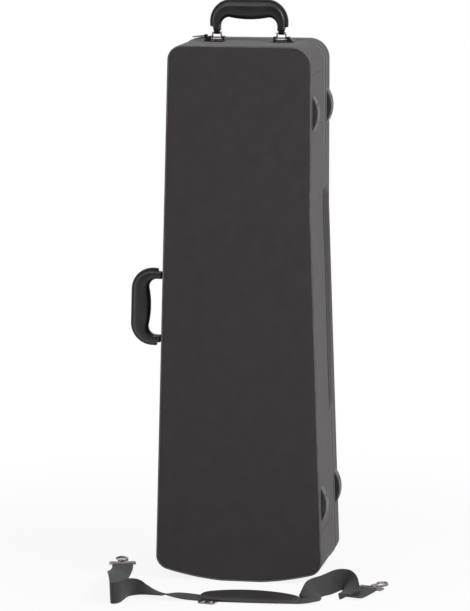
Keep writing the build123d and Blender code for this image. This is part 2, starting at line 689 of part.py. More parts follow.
LEFT_ROUTE = [
    (-228.5, -28.2, 4.6, 0, 0), (-222.9, -52.5, 3.2, 0, 0), (-218, -95, 3.5, 0, 6), (-213, -140, 8.5, 0, 20),
    (-206, -195, 14, 0, 40), (-198, -250, 18, 0, 64), (-191, -295, 20, 0, 84), (-186, -330, 20, 0, 90),
    (-170, -318, 20, 170, 89), (-165, -282, 20, 170, 86), (-159, -248, 19.5, 150, 78), (-141, -232, 18, 105, 64),
    (-117, -240, 12.5, 76, 35), (-93, -250, 5, 75, 10), (-68, -249.5, WEB_MID_Z, 78, 2),
    (PAD_LEFT[0], PAD_LEFT[1], WEB_MID_Z, 90, 0),
]
RIGHT_ROUTE = [
    (PAD_RIGHT[0], PAD_RIGHT[1], WEB_MID_Z, 90, 0), (144, -254.5, WEB_MID_Z, 94, 4), (150, -238, 8, 130, 24),
    (150, -214, 15, 150, 46), (157, -199, 16.2, 140, 50), (168, -188, 17, 135, 54), (177, -170, 18.2, 145, 60),
    (186, -150, 19.6, 130, 70), (200, -148, 19.4, 80, 66), (208, -166, 17, 20, 50), (211, -190, 12.5, 0, 26),
    (213, -212, 10.9, -8, 3), (215.5, -223, 9.2, -16, 0), (217, -212, 2.2, -18, 0), (229.5, -170.3, 2.4, -25, 0),
    (238.1, -148, 4.6, -25, 0),
]
keep("strap_webbing_left", webbing(LEFT_ROUTE))
keep("strap_webbing_right", webbing(RIGHT_ROUTE))

pad_ends = []
for (x, y), width in zip((PAD_LEFT, PAD_RIGHT), PAD_END_WIDTHS):
    pad_ends.append(((x, y - width / 2), (x, y + width / 2)))
pad_face = make_face([
    Line(*pad_ends[0]),
    ThreePointArc(pad_ends[0][1], PAD_REAR, pad_ends[1][1]),
    Line(pad_ends[1][1], pad_ends[1][0]),
    ThreePointArc(pad_ends[1][0], PAD_FRONT, pad_ends[0][0]),
])
pad_face = fillet(pad_face.vertices(), 9.0)
pad = extrude(pad_face, amount=PAD_THICKNESS)
pad = fillet(pad.edges().group_by(Axis.Z)[-1], 5.0)
pad = fillet(pad.edges().group_by(Axis.Z)[0], 2.5)
ADJUSTER_PLACE = Pos(-22, -272, 0) * Rot(0, 0, -12)
adjuster = Pos(0, 0, 1.5) * Box(30, 48, 3.0)
adjuster = fillet(adjuster.edges().filter_by(Axis.Z), 5.0)
for x in (-7, 7):
    adjuster = adjuster - Pos(x, 0, 0) * Box(7, 41, 10)
adjuster = ADJUSTER_PLACE * adjuster
keep("strap_pad", pad - ADJUSTER_PLACE * Box(31, 49, 6.4))
keep("strap_adjuster", adjuster)

EYE_HALF = 22.5
EYE_R = 2.0
EYE_DEPTH = 11.0
HOOK_R = 2.3
POST_R = 2.2
HOOK_LIFT = 4.6


def swivel_eye():
    """A wire loop for the webbing with a barrel that the hook's post turns in."""
    eye = rod((0, -EYE_HALF, 0), (0, EYE_HALF, 0), EYE_R) + rod((EYE_DEPTH, -EYE_HALF, 0), (EYE_DEPTH, EYE_HALF, 0), EYE_R)
    for sign in (-1, 1):
        eye = eye + rod((0, sign * EYE_HALF, 0), (EYE_DEPTH, sign * EYE_HALF, 0), EYE_R)
        for x in (0, EYE_DEPTH):
            eye = eye + Pos(x, sign * EYE_HALF, 0) * Sphere(EYE_R)
    barrel = rod((EYE_DEPTH - 1.5, 0, 0), (EYE_DEPTH + 6.5, 0, 0), 4.4)
    return eye + barrel - rod((EYE_DEPTH - 5, 0, 0), (EYE_DEPTH + 8, 0, 0), POST_R + PIN_CLEARANCE)


def snap_hook():
    """Post and head in the barrel, a collar, and a round-wire hook open on one side."""
    post = rod((EYE_DEPTH - 3.5, 0, 0), (EYE_DEPTH + 10, 0, 0), POST_R)
    head = rod((EYE_DEPTH - 3.7, 0, 0), (EYE_DEPTH - 2.1, 0, 0), 3.4)
    collar = rod((EYE_DEPTH + 7.0, 0, 0), (EYE_DEPTH + 13, 0, 0), 4.4)
    path = FilletPolyline((22, -1.5), (29, -9), (46, -9.5), (57, 0), (48, 9.5), (43, 9.5), radius=4.2)
    wire = path.wire()
    section = Plane(origin=wire @ 0, z_dir=wire % 0) * Circle(HOOK_R)
    ear = block(21, 30, 1.0, 8.5, -2.2, 2.2)
    pocket = block(24.4, 31, 2.4, 10, -1.35, 1.35)
    pin = Pos(27, 5.5, 0) * Cylinder(0.9, 4.4)
    return post + head + collar + sweep(section, path=wire) + ear - pocket + pin


def hook_gate():
    """The sprung gate that closes the hook, with an eye round the hook's pin."""
    gate = Pos(27, 5.5, 0) * Cylinder(2.1, 2.4)
    bar = rod((28, 6.0, 0), (42.5, 9.5, 0), 1.2)
    gate = gate + bar
    return gate - Pos(27, 5.5, 0) * Cylinder(0.9 + PIN_CLEARANCE, 6)


eyes = []
for name, eye_point, heading in (("left", LEFT_EYE, LEFT_HEADING), ("right", RIGHT_EYE, RIGHT_HEADING)):
    lie = Pos(eye_point[0], eye_point[1], HOOK_LIFT) * Rot(0, 0, heading)
    eyes.append((lie * swivel_eye()).solid())
    keep("snap_hook_" + name, lie * snap_hook())
    keep("hook_gate_" + name, lie * hook_gate())
keep("swivel_eyes", Compound(children=eyes))

os.makedirs("parts", exist_ok=True)
for name, shape in NODES.items():
    export_step(shape, "parts/" + name + ".step")
print(len(NODES), "nodes")
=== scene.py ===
import math

import bmesh
import bpy
import numpy as np
from mathutils import Matrix, Vector


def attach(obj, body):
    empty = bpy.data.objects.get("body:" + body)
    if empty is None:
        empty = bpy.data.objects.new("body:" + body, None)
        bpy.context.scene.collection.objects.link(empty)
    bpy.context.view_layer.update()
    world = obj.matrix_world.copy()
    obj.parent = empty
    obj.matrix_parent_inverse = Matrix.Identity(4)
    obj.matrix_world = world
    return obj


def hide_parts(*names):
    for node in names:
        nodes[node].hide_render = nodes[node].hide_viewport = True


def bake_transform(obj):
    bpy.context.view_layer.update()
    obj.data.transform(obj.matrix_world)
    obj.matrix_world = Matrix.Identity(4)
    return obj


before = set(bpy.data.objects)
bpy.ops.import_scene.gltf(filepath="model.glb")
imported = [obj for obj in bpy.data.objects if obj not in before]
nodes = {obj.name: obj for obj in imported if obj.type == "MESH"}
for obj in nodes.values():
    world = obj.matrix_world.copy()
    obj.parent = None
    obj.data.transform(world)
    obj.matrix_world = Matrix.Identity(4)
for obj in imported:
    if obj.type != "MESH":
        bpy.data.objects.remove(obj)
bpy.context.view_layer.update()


# Camera
# It stands six and a half metres away with a long lens, ten degrees to the feet side
# of straight ahead and a little above the middle of the case.
CAMERA_AZIMUTH = math.radians(10.06)
CAMERA_ELEVATION = math.radians(8.59)
CAMERA_DISTANCE = 6.532
CAMERA_ACROSS = 0.02465
CAMERA_DOWN = 0.00447
CAMERA_LENS = 215.0
AIM = Vector((0.0, -0.008, 0.47725))

back = Vector((math.sin(CAMERA_AZIMUTH) * math.cos(CAMERA_ELEVATION),
               -math.cos(CAMERA_AZIMUTH) * math.cos(CAMERA_ELEVATION), math.sin(CAMERA_ELEVATION)))
right = Vector((math.cos(CAMERA_AZIMUTH), math.sin(CAMERA_AZIMUTH), 0.0))
up = back.cross(right)
camera = bpy.data.objects.new("camera", bpy.data.cameras.new("camera"))
bpy.context.scene.collection.objects.link(camera)
turned = Matrix((right, up, back)).transposed()
place = AIM - CAMERA_ACROSS * right + CAMERA_DOWN * up + CAMERA_DISTANCE * back
camera.matrix_world = Matrix.Translation(place) @ turned.to_4x4()
camera.data.lens = CAMERA_LENS
camera.data.sensor_width = 36.0
camera.data.clip_start = 0.1
camera.data.clip_end = 60.0
bpy.context.scene.camera = camera


# Shoulder strap webbing
# Ribbed nylon webbing 38 mm wide, one length from swivel eye to swivel eye. It stands on
# its edge round two loose bends and runs flat under the pad, as it was dropped.
WEB_WIDTH = 0.038
WEB_HALF_THICK = 0.001
WEB_FLOOR_GAP = 0.0002
WEB_RIB = 0.0024
WEB_STEPS = 30

# x, y and z of the middle, then the turn and the lift of the width, in degrees
WEB_ROUTE = [
    (-0.2285, -0.0282, 0.0046, 180, 0), (-0.2229, -0.0525, 0.0032, 180, 0), (-0.2185, -0.095, 0.0044, 180, 8),
    (-0.214, -0.140, 0.0088, 178, 24), (-0.208, -0.190, 0.0148, 172, 42), (-0.201, -0.245, 0.0188, 165, 64),
    (-0.194, -0.295, 0.020, 165, 84), (-0.188, -0.3283, 0.020, 165, 90), (-0.174, -0.3195, 0.020, 170, 90),
    (-0.170, -0.290, 0.020, 0, 84), (-0.161, -0.265, 0.0176, -30, 60), (-0.146, -0.256, 0.0144, -70, 46),
    (-0.128, -0.258, 0.0112, -88, 34), (-0.110, -0.265, 0.009, -90, 20), (-0.091, -0.265, 0.007, -92, 4),
    (-0.068, -0.2585, 0.0040, -91, -4), (-0.030, -0.2600, 0.0014, -90, 0), (0.045, -0.258, 0.0014, -90, 0),
    (0.120, -0.2545, 0.0018, -90, 0), (0.144, -0.2545, 0.0042, -86, -4), (0.150, -0.238, 0.008, -50, -24),
    (0.150, -0.214, 0.015, -30, -46), (0.157, -0.199, 0.0162, -40, -50), (0.168, -0.188, 0.017, -45, -54),
    (0.177, -0.170, 0.0182, -35, -60), (0.186, -0.150, 0.0196, -50, -70), (0.200, -0.148, 0.0194, -100, -66),
    (0.208, -0.166, 0.017, -160, -50), (0.211, -0.190, 0.0125, 180, -26), (0.213, -0.212, 0.0109, 172, -3),
    (0.2155, -0.223, 0.0092, 164, 0), (0.217, -0.212, 0.0022, 162, 0), (0.2295, -0.1703, 0.0024, 155, 0),
    (0.2381, -0.148, 0.0046, 155, 0),
]


def spline_points(name, points):
    """Points read from a clamped quadratic NURBS through a route's control points."""
    curve = bpy.data.curves.new(name, "CURVE")
    curve.dimensions = "3D"
    spline = curve.splines.new("NURBS")
    spline.points.add(len(points) - 1)
    for point, place in zip(spline.points, points):
        point.co = (*place, 1.0)
    spline.order_u = 3
    spline.use_endpoint_u = True
    spline.resolution_u = WEB_STEPS
    holder = bpy.data.objects.new(name, curve)
    mesh = bpy.data.meshes.new_from_object(holder)
    flat = np.empty(len(mesh.vertices) * 3)
    mesh.vertices.foreach_get("co", flat)
    bpy.data.objects.remove(holder)
    bpy.data.curves.remove(curve)
    bpy.data.meshes.remove(mesh)
    return flat.reshape(-1, 3)


def lengths_along(line):
    """Distance along a polyline at each of its points."""
    steps = np.linalg.norm(np.diff(line, axis=0), axis=1)
    return np.concatenate([[0.0], np.cumsum(steps)])


def unit_rows(rows):
    return rows / np.maximum(np.linalg.norm(rows, axis=-1, keepdims=True), 1e-12)


def grid_piece(name, points, close_rows=False, close_columns=False, uv=None, smooth=40.0):
    """A mesh from an n by m grid of points, joined into quads between neighbouring rows and
    columns, and round from the last to the first where a direction is closed."""
    rows, columns = points.shape[:2]
    ids = np.arange(rows * columns).reshape(rows, columns)
    r = np.arange(rows if close_rows else rows - 1)
    c = np.arange(columns if close_columns else columns - 1)
    r, c = np.meshgrid(r, c, indexing="ij")
    r2, c2 = (r + 1) % rows, (c + 1) % columns
    quads = np.stack([ids[r, c], ids[r2, c], ids[r2, c2], ids[r, c2]], axis=-1).reshape(-1, 4)
    mesh = bpy.data.meshes.new(name)
    mesh.from_pydata(points.reshape(-1, 3).tolist(), [], quads.tolist())
    if uv is not None:
        layer = mesh.uv_layers.new(name="UVMap")
        flat = uv.reshape(-1, 2)[quads.reshape(-1)]
        if close_columns:
            wrap = np.repeat((c2 == 0).reshape(-1), 4) & np.tile([False, False, True, True], len(quads))
            flat[wrap, 1] += uv[0, -1, 1] + (uv[0, -1, 1] - uv[0, -2, 1])
        layer.data.foreach_set("uv", flat.reshape(-1))
    mesh.update()
    piece = bpy.data.objects.new(name, mesh)
    bpy.context.scene.collection.objects.link(piece)
    mesh.shade_smooth()
    mesh.set_sharp_from_angle(angle=math.radians(smooth))
    return piece


def finished(piece, material, body):
    """Gives a piece its material and the body that it rides on."""
    piece.data.materials.clear()
    piece.data.materials.append(material)
    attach(piece, body)
    return piece


def new_material(name):
    """An empty node material with a Principled shader, its tree and its shader."""
    material = bpy.data.materials.new(name)
    material.use_nodes = True
    tree = material.node_tree
    return material, tree, tree.nodes["Principled BSDF"]


def web_line():
    """The webbing's middle line, and the direction across it square to that line."""
    route = np.array(WEB_ROUTE)
    turn, lift = np.radians(route[:, 3]), np.radians(route[:, 4])
    across = np.stack([np.cos(turn) * np.cos(lift), np.sin(turn) * np.cos(lift), np.sin(lift)], axis=1)
    middle = spline_points("web_middle", route[:, :3])
    edge = spline_points("web_edge", route[:, :3] + across * WEB_WIDTH / 2)
    along = unit_rows(np.gradient(middle, axis=0))
    across = edge - middle
    across = unit_rows(across - along * (across * along).sum(axis=1, keepdims=True))
    return middle, along, across


def webbing_mesh():
    """A flat band: round the section an angle a gives cos a to a power across the width and
    sin a to a power through the thickness; ribs rise as a sine of the length."""
    middle, along, across = web_line()
    through = np.cross(along, across)
    angle = np.linspace(0, 2 * np.pi, 40, endpoint=False)
    wide = np.sign(np.cos(angle)) * np.abs(np.cos(angle)) ** 0.35 * WEB_WIDTH / 2
    thick = np.sign(np.sin(angle)) * np.abs(np.sin(angle)) ** 0.35 * WEB_HALF_THICK
    length = lengths_along(middle)
    rib = 1 + 0.12 * np.sin(2 * np.pi * length / WEB_RIB)
    points = middle[:, None] + across[:, None] * wide[None, :, None]
    points = points + through[:, None] * (thick[None, :] * rib[:, None])[..., None]
    points[..., 2] = np.maximum(points[..., 2], WEB_FLOOR_GAP)
    across_uv = wide[None, :] + np.sign(thick)[None, :] * 0.1
    uv = np.stack(np.broadcast_arrays(length[:, None], across_uv), axis=-1)
    return middle, grid_piece("strap_webbing", points, close_columns=True, uv=uv)


def webbing_material():
    """Dark nylon with a cross rib and a fine lengthwise yarn, both from the piece's own map."""
    material, tree, shader = new_material("webbing")
    coordinates = tree.nodes.new("ShaderNodeTexCoord")
    ribs = tree.nodes.new("ShaderNodeTexWave")
    ribs.wave_type = "BANDS"
    ribs.bands_direction = "X"
    ribs.inputs["Scale"].default_value = 1 / (WEB_RIB * 3.2)
    ribs.inputs["Distortion"].default_value = 0.6
    yarn = tree.nodes.new("ShaderNodeTexWave")
    yarn.bands_direction = "Y"
    yarn.inputs["Scale"].default_value = 320.0
    yarn.inputs["Distortion"].default_value = 1.0
    for wave in (ribs, yarn):
        tree.links.new(coordinates.outputs["UV"], wave.inputs["Vector"])
    both = tree.nodes.new("ShaderNodeMath")
    both.operation = "MULTIPLY_ADD"
    both.inputs[1].default_value = 0.35
    tree.links.new(yarn.outputs["Fac"], both.inputs[0])
    tree.links.new(ribs.outputs["Fac"], both.inputs[2])
    ramp = tree.nodes.new("ShaderNodeValToRGB")
    ramp.color_ramp.elements[0].color = (0.013, 0.0118, 0.0122, 1)
    ramp.color_ramp.elements[1].color = (0.037, 0.0335, 0.0345, 1)
    ramp.color_ramp.elements[1].position = 1.3 / 1.35
    tree.links.new(both.outputs[0], ramp.inputs["Fac"])
    tree.links.new(ramp.outputs["Color"], shader.inputs["Base Color"])
    bump = tree.nodes.new("ShaderNodeBump")
    bump.inputs["Strength"].default_value = 0.6
    bump.inputs["Distance"].default_value = 0.0004
    tree.links.new(both.outputs[0], bump.inputs["Height"])
    tree.links.new(bump.outputs["Normal"], shader.inputs["Normal"])
    shader.inputs["Roughness"].default_value = 0.72
    shader.inputs["Sheen Weight"].default_value = 0.15
    return material


web_middle, webbing = webbing_mesh()
webbing_finish = webbing_material()
finished(webbing, webbing_finish, "strap")
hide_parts("strap_webbing_left", "strap_webbing_right")
strap_metal = ["strap_adjuster", "swivel_eyes", "snap_hook_left", "snap_hook_right", "hook_gate_left",
               "hook_gate_right"]


# Strap pad
# A long cushion of soft foam in smooth cloth, sewn round its edge with a low welt. Its two
# long sides are arcs and it is a little fuller in the middle than at its ends.
PAD_ENDS_X = (-0.045, 0.135)
PAD_REAR_Y = (-0.229, -0.208, -0.236)
PAD_FRONT_Y = (-0.270, -0.281, -0.273)
PAD_THICK = 0.0115
PAD_FLOOR = 0.0004
PAD_WELT = 0.0009


def through_three(t, values):
    """The parabola that takes three values at t of 0, a half and 1."""
    start, middle, end = values
    return start * (1 - t) * (1 - 2 * t) + middle * 4 * t * (1 - t) + end * t * (2 * t - 1)


def pad_mesh():
    """s runs from -1 to 1 along the pad, closing its ends as a superellipse; round the section
    the width goes with cos a and the height with sin a, both to powers that fill it out."""
    s = np.sin(np.linspace(-np.pi / 2, np.pi / 2, 96))
    t = (s + 1) / 2
    x = PAD_ENDS_X[0] + (PAD_ENDS_X[1] - PAD_ENDS_X[0]) * t
    rear, front = through_three(t, PAD_REAR_Y), through_three(t, PAD_FRONT_Y)
    closing = np.maximum(1 - np.abs(s) ** 14, 0) ** 0.5
    half = (rear - front) / 2 * (0.02 + 0.98 * closing)
    centre = (rear + front) / 2
    edge = 0.05 + 0.95 * np.maximum(1 - np.abs(s) ** 40, 0) ** 0.5
    high = PAD_THICK * (0.62 + 0.38 * (1 - s ** 2) ** 0.6) * edge
    a = np.linspace(0, 2 * np.pi, 72, endpoint=False)
    wide = np.sign(np.cos(a)) * np.abs(np.cos(a)) ** 0.75
    tall = np.where(np.sin(a) > 0, np.abs(np.sin(a)) ** 0.8, -np.abs(np.sin(a)) ** 0.45)
    rise = np.where(tall > 0, 0.62, 0.38)
    welt = PAD_WELT * np.exp(-(np.sin(a) / 0.10) ** 2) * np.sign(np.cos(a))
    y = centre[:, None] + half[:, None] * wide[None, :] + welt[None, :]
    z = PAD_FLOOR + high[:, None] * (0.38 + rise[None, :] * tall[None, :])
    points = np.stack([np.broadcast_to(x[:, None], y.shape), y, z], axis=-1)
    uv = np.stack([points[..., 0], points[..., 1]], axis=-1)
    return capped_piece("pad_cushion", points, uv=uv)


def capped_piece(name, points, uv=None, smooth=40.0):
    """A closed section carried along an open path, with a flat face at each end; the signed
    volume tells which way its faces point."""
    piece = grid_piece(name, points, close_columns=True, uv=uv, smooth=smooth)
    mesh = piece.data
    rows, columns = points.shape[:2]
    build = bmesh.new()
    build.from_mesh(mesh)
    build.verts.ensure_lookup_table()
    build.faces.new([build.verts[i] for i in range(columns)])
    build.faces.new([build.verts[(rows - 1) * columns + i] for i in range(columns)])
    bmesh.ops.recalc_face_normals(build, faces=build.faces)
    build.to_mesh(mesh)
    build.free()
    mesh.shade_smooth()
    mesh.set_sharp_from_angle(angle=math.radians(smooth))
    return piece


def pad_material():
    """Smooth dark cloth: a fine even grain and a slow change of tone."""
    material, tree, shader = new_material("pad_cloth")
    coordinates = tree.nodes.new("ShaderNodeTexCoord")
    grain = tree.nodes.new("ShaderNodeTexNoise")
    grain.inputs["Scale"].default_value = 1800.0
    grain.inputs["Detail"].default_value = 3.0
    slow = tree.nodes.new("ShaderNodeTexNoise")
    slow.inputs["Scale"].default_value = 28.0
    for noise in (grain, slow):
        tree.links.new(coordinates.outputs["Object"], noise.inputs["Vector"])
    ramp = tree.nodes.new("ShaderNodeValToRGB")
    ramp.color_ramp.elements[0].color = (0.017, 0.0145, 0.0155, 1)
    ramp.color_ramp.elements[1].color = (0.040, 0.035, 0.037, 1)
    tree.links.new(slow.outputs["Fac"], ramp.inputs["Fac"])
    tree.links.new(ramp.outputs["Color"], shader.inputs["Base Color"])
    bump = tree.nodes.new("ShaderNodeBump")
    bump.inputs["Strength"].default_value = 0.35
    bump.inputs["Distance"].default_value = 0.0002
    tree.links.new(grain.outputs["Fac"], bump.inputs["Height"])
    tree.links.new(bump.outputs["Normal"], shader.inputs["Normal"])
    shader.inputs["Roughness"].default_value = 0.55
    return material


pad = finished(pad_mesh(), pad_material(), "strap")
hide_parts("strap_pad")


# Strap hardware
# Two swivel eyes with sprung snap hooks, bent from wire and plated dark nickel, and the
# black slide that sets the strap's length. They keep their made shape and get a finish.
def metal_material(name, dark, light, roughness, metallic=1.0, grain=900.0):
    """Metal whose tone and roughness shift over a fine grain, lighter where it is rubbed."""
    material, tree, shader = new_material(name)
    coordinates = tree.nodes.new("ShaderNodeTexCoord")
    noise = tree.nodes.new("ShaderNodeTexNoise")
    noise.inputs["Scale"].default_value = grain
    noise.inputs["Detail"].default_value = 4.0
    worn = tree.nodes.new("ShaderNodeTexNoise")
    worn.inputs["Scale"].default_value = 110.0
    for texture in (noise, worn):
        tree.links.new(coordinates.outputs["Object"], texture.inputs["Vector"])
    ramp = tree.nodes.new("ShaderNodeValToRGB")
    ramp.color_ramp.elements[0].position = 0.35
    ramp.color_ramp.elements[0].color = (*dark, 1)
    ramp.color_ramp.elements[1].position = 0.7
    ramp.color_ramp.elements[1].color = (*light, 1)
    tree.links.new(worn.outputs["Fac"], ramp.inputs["Fac"])
    tree.links.new(ramp.outputs["Color"], shader.inputs["Base Color"])
    gloss = tree.nodes.new("ShaderNodeMapRange")
    gloss.inputs["To Min"].default_value = roughness * 0.8
    gloss.inputs["To Max"].default_value = roughness * 1.25
    tree.links.new(noise.outputs["Fac"], gloss.inputs["Value"])
    tree.links.new(gloss.outputs["Result"], shader.inputs["Roughness"])
    bump = tree.nodes.new("ShaderNodeBump")
    bump.inputs["Strength"].default_value = 0.15
    bump.inputs["Distance"].default_value = 0.0001
    tree.links.new(noise.outputs["Fac"], bump.inputs["Height"])
    tree.links.new(bump.outputs["Normal"], shader.inputs["Normal"])
    shader.inputs["Metallic"].default_value = metallic
    return material


def dress(material, *names):
    """Gives CAD nodes a material in place of the one that they came with."""
    for name in names:
        mesh = nodes[name].data
        mesh.materials.clear()
        mesh.materials.append(material)


dark_nickel = metal_material("dark_nickel", (0.16, 0.145, 0.145), (0.42, 0.39, 0.38), 0.34)
dress(dark_nickel, *strap_metal)


# Outline of the case
# Seen from the front it is a tall tapering box: a straight top, a left side that leans, a
# right side that runs straight down and then flares, and a bottom bowed to half a metre.
CASE_HEIGHT = 0.9545
CASE_TOP_X = (-0.1265, 0.1283)
CASE_BOTTOM_X = (-0.1510, 0.1508)
FLARE_Z = 0.660
BOW_CENTRE = np.array([0.005, 0.4988])
BOW_RADIUS = 0.5
CORNER_RADII = {"top_left": 0.026, "top_right": 0.036, "flare": 0.3, "bottom": 0.026, "flat": 0.06}
OUTLINE_STEP = 0.006


def bow_meeting(point, direction, inward, radius):
    """The angle on the bow, from straight down, where a rounding between it and a straight side
    touches it: the rounding's centre lies one radius inside both."""
    start = point + inward * radius - BOW_CENTRE
    b = start @ direction
    s = -b + math.sqrt(b * b - start @ start + (BOW_RADIUS - radius) ** 2)
    centre = start + s * direction
    return math.atan2(centre[0], -centre[1])


def bow_corner(angle_from, angle_to):
    """The corner whose rounding is the bow between two angles: where its end tangents meet."""
    reach = BOW_RADIUS / math.cos((angle_to - angle_from) / 2)
    middle = (angle_from + angle_to) / 2
    return BOW_CENTRE + reach * np.array([math.sin(middle), -math.cos(middle)])


def crossing(p, d, q, e):
    """Where the line from p along d meets the line from q along e."""
    s = np.linalg.solve(np.stack([d, -e], axis=1), q - p)
    return p + s[0] * d


def case_outline():
    """Points and outward directions round the outline, clockwise from the front, and the length
    gone at each. A corner of radius r is an arc that starts r tan(half the turn) before it."""
    top_left, top_right = np.array([CASE_TOP_X[0], CASE_HEIGHT]), np.array([CASE_TOP_X[1], CASE_HEIGHT])
    flare = np.array([CASE_TOP_X[1], FLARE_Z])
    foot_right, foot_left = np.array([CASE_BOTTOM_X[1], 0.0]), np.array([CASE_BOTTOM_X[0], 0.0])
    down_right = unit_rows(foot_right - flare)
    down_left = unit_rows(foot_left - top_left)
    floor = np.array([1.0, 0.0])
    origin = np.zeros(2)
    corner_r, flat_r = CORNER_RADII["bottom"], CORNER_RADII["flat"]
    right_end = bow_meeting(flare, down_right, np.array([down_right[1], -down_right[0]]), corner_r)
    left_end = bow_meeting(top_left, down_left, np.array([-down_left[1], down_left[0]]), corner_r)
    right_start = bow_meeting(origin, floor, np.array([0.0, 1.0]), flat_r)
    left_start = -right_start

    def tangent(angle):
        touch = BOW_CENTRE + BOW_RADIUS * np.array([math.sin(angle), -math.cos(angle)])
        return touch, np.array([math.cos(angle), math.sin(angle)])

    corners = [
        (top_left, CORNER_RADII["top_left"]),
        (top_right, CORNER_RADII["top_right"]),
        (flare, CORNER_RADII["flare"]),
        (crossing(flare, down_right, *tangent(right_end)), corner_r),
        (bow_corner(right_start, right_end), BOW_RADIUS),
        (crossing(origin, floor, *tangent(right_start)), flat_r),
        (crossing(origin, floor, *tangent(left_start)), flat_r),
        (bow_corner(left_end, left_start), BOW_RADIUS),
        (crossing(top_left, down_left, *tangent(left_end)), corner_r),
    ]
    points, outward = [], []
    for i, (corner, radius) in enumerate(corners):
        before, after = corners[i - 1][0], corners[(i + 1) % len(corners)][0]
        arrive, leave = unit_rows(corner - before), unit_rows(after - corner)
        turn = math.atan2(arrive[1] * leave[0] - arrive[0] * leave[1], arrive @ leave)
        reach = radius * math.tan(abs(turn) / 2)
        side = np.array([-arrive[1], arrive[0]])
        centre = corner - arrive * reach - math.copysign(radius, turn) * side
        steps = max(6, int(radius * abs(turn) / OUTLINE_STEP * (3 if radius < 0.05 else 1)))
        angles = math.atan2(side[1], side[0]) - np.linspace(0, turn, steps + 1)
        normals = np.stack([np.cos(angles), np.sin(angles)], axis=1)
        arc = centre + math.copysign(radius, turn) * normals
        if points:
            straight = np.linalg.norm(arc[0] - points[-1][-1])
            count = int(straight / OUTLINE_STEP)
            if count > 1:
                share = np.linspace(0, 1, count + 1)[1:-1, None]
                points.append(points[-1][-1] * (1 - share) + arc[0] * share)
                outward.append(np.repeat(normals[:1], len(share), axis=0))
        points.append(arc)
        outward.append(normals)
    gap = np.linalg.norm(points[0][0] - points[-1][-1])
    share = np.linspace(0, 1, int(gap / OUTLINE_STEP) + 1)[1:-1, None]
    points.append(points[-1][-1] * (1 - share) + points[0][0] * share)
    outward.append(np.repeat(outward[0][:1], len(share), axis=0))
    points, outward = np.concatenate(points), np.concatenate(outward)
    keep = np.linalg.norm(points - np.roll(points, 1, axis=0), axis=1) > 1e-5
    points, outward = points[keep], outward[keep]
    return points, outward, lengths_along(points)


outline_points, outline_out, outline_length = case_outline()
round_trip = outline_length[-1] + np.linalg.norm(outline_points[0] - outline_points[-1])


# Front panel
# Plywood faced with woven nylon over a thin felt, so its face is flat and its edge rolls
# in behind the piping. It is the large plain face of the base.
FRONT_Y = -0.114
PANEL_EDGE = 0.0032
PANEL_ROLL = 0.0016
PANEL_WAVE = 0.00018
PANEL_THICK = 0.0026
SPINE_Z = (0.16, 0.82)


def outline_ring(inward):
    """The outline moved inward, as x and z."""
    return outline_points - inward * outline_out


def spine_below(ring):
    """For each point of a ring, the nearest point of a short upright line up the middle."""
    z = np.clip(ring[:, 1], *SPINE_Z)
    return np.stack([np.full(len(ring), 0.002), z], axis=1)


def panel_mesh(outer, y_of, steps):
    """Rings from the edge to a line up the middle: a ring at share q lies q of the way from the
    edge's ring to that line, and its depth is a function of q and of its point."""
    ring = outline_ring(outer)
    spine = spine_below(ring)
    q = steps[:, None, None]
    flat = ring[None] * (1 - q) + spine[None] * q
    y = y_of(steps[:, None], flat)
    points = np.stack([flat[..., 0], np.broadcast_to(y, flat.shape[:2]), flat[..., 1]], axis=-1)
    return points.transpose(1, 0, 2)


def weave_material(name, dark, light, yarn, mottle=0.5, roughness=0.8, sheen=0.2, bump_height=0.00025):
    """Plain woven cloth: two sets of bands cross at right angles on the piece's map, whose unit is
    a metre, over a slow mottle of the dye."""
    material, tree, shader = new_material(name)
    coordinates = tree.nodes.new("ShaderNodeTexCoord")
    bands = []
    for direction in ("X", "Y"):
        wave = tree.nodes.new("ShaderNodeTexWave")
        wave.bands_direction = direction
        wave.inputs["Scale"].default_value = 1 / (yarn * 3.2)
        wave.inputs["Distortion"].default_value = 1.2
        wave.inputs["Detail"].default_value = 1.0
        wave.inputs["Detail Scale"].default_value = 2.0
        tree.links.new(coordinates.outputs["UV"], wave.inputs["Vector"])
        bands.append(wave.outputs["Fac"])
    weave = tree.nodes.new("ShaderNodeMath")
    weave.operation = "MAXIMUM"
    tree.links.new(bands[0], weave.inputs[0])
    tree.links.new(bands[1], weave.inputs[1])
    slow = tree.nodes.new("ShaderNodeTexNoise")
    slow.inputs["Scale"].default_value = 34.0
    slow.inputs["Detail"].default_value = 6.0
    slow.inputs["Roughness"].default_value = 0.68
    tree.links.new(coordinates.outputs["Object"], slow.inputs["Vector"])
    tone = tree.nodes.new("ShaderNodeMix")
    tone.inputs["Factor"].default_value = mottle
    tree.links.new(weave.outputs[0], tone.inputs[2])
    tree.links.new(slow.outputs["Fac"], tone.inputs[3])
    ramp = tree.nodes.new("ShaderNodeValToRGB")
    ramp.color_ramp.elements[0].position = 0.25
    ramp.color_ramp.elements[0].color = (*dark, 1)
    ramp.color_ramp.elements[1].position = 0.85
    ramp.color_ramp.elements[1].color = (*light, 1)
    tree.links.new(tone.outputs[0], ramp.inputs["Fac"])
    tree.links.new(ramp.outputs["Color"], shader.inputs["Base Color"])
    bump = tree.nodes.new("ShaderNodeBump")
    bump.inputs["Strength"].default_value = 0.5
    bump.inputs["Distance"].default_value = bump_height
    tree.links.new(weave.outputs[0], bump.inputs["Height"])
    tree.links.new(bump.outputs["Normal"], shader.inputs["Normal"])
    shader.inputs["Roughness"].default_value = roughness
    shader.inputs["Sheen Weight"].default_value = sheen
    shader.inputs["Sheen Roughness"].default_value = 0.5
    shader.inputs["Specular IOR Level"].default_value = 0.3
    return material


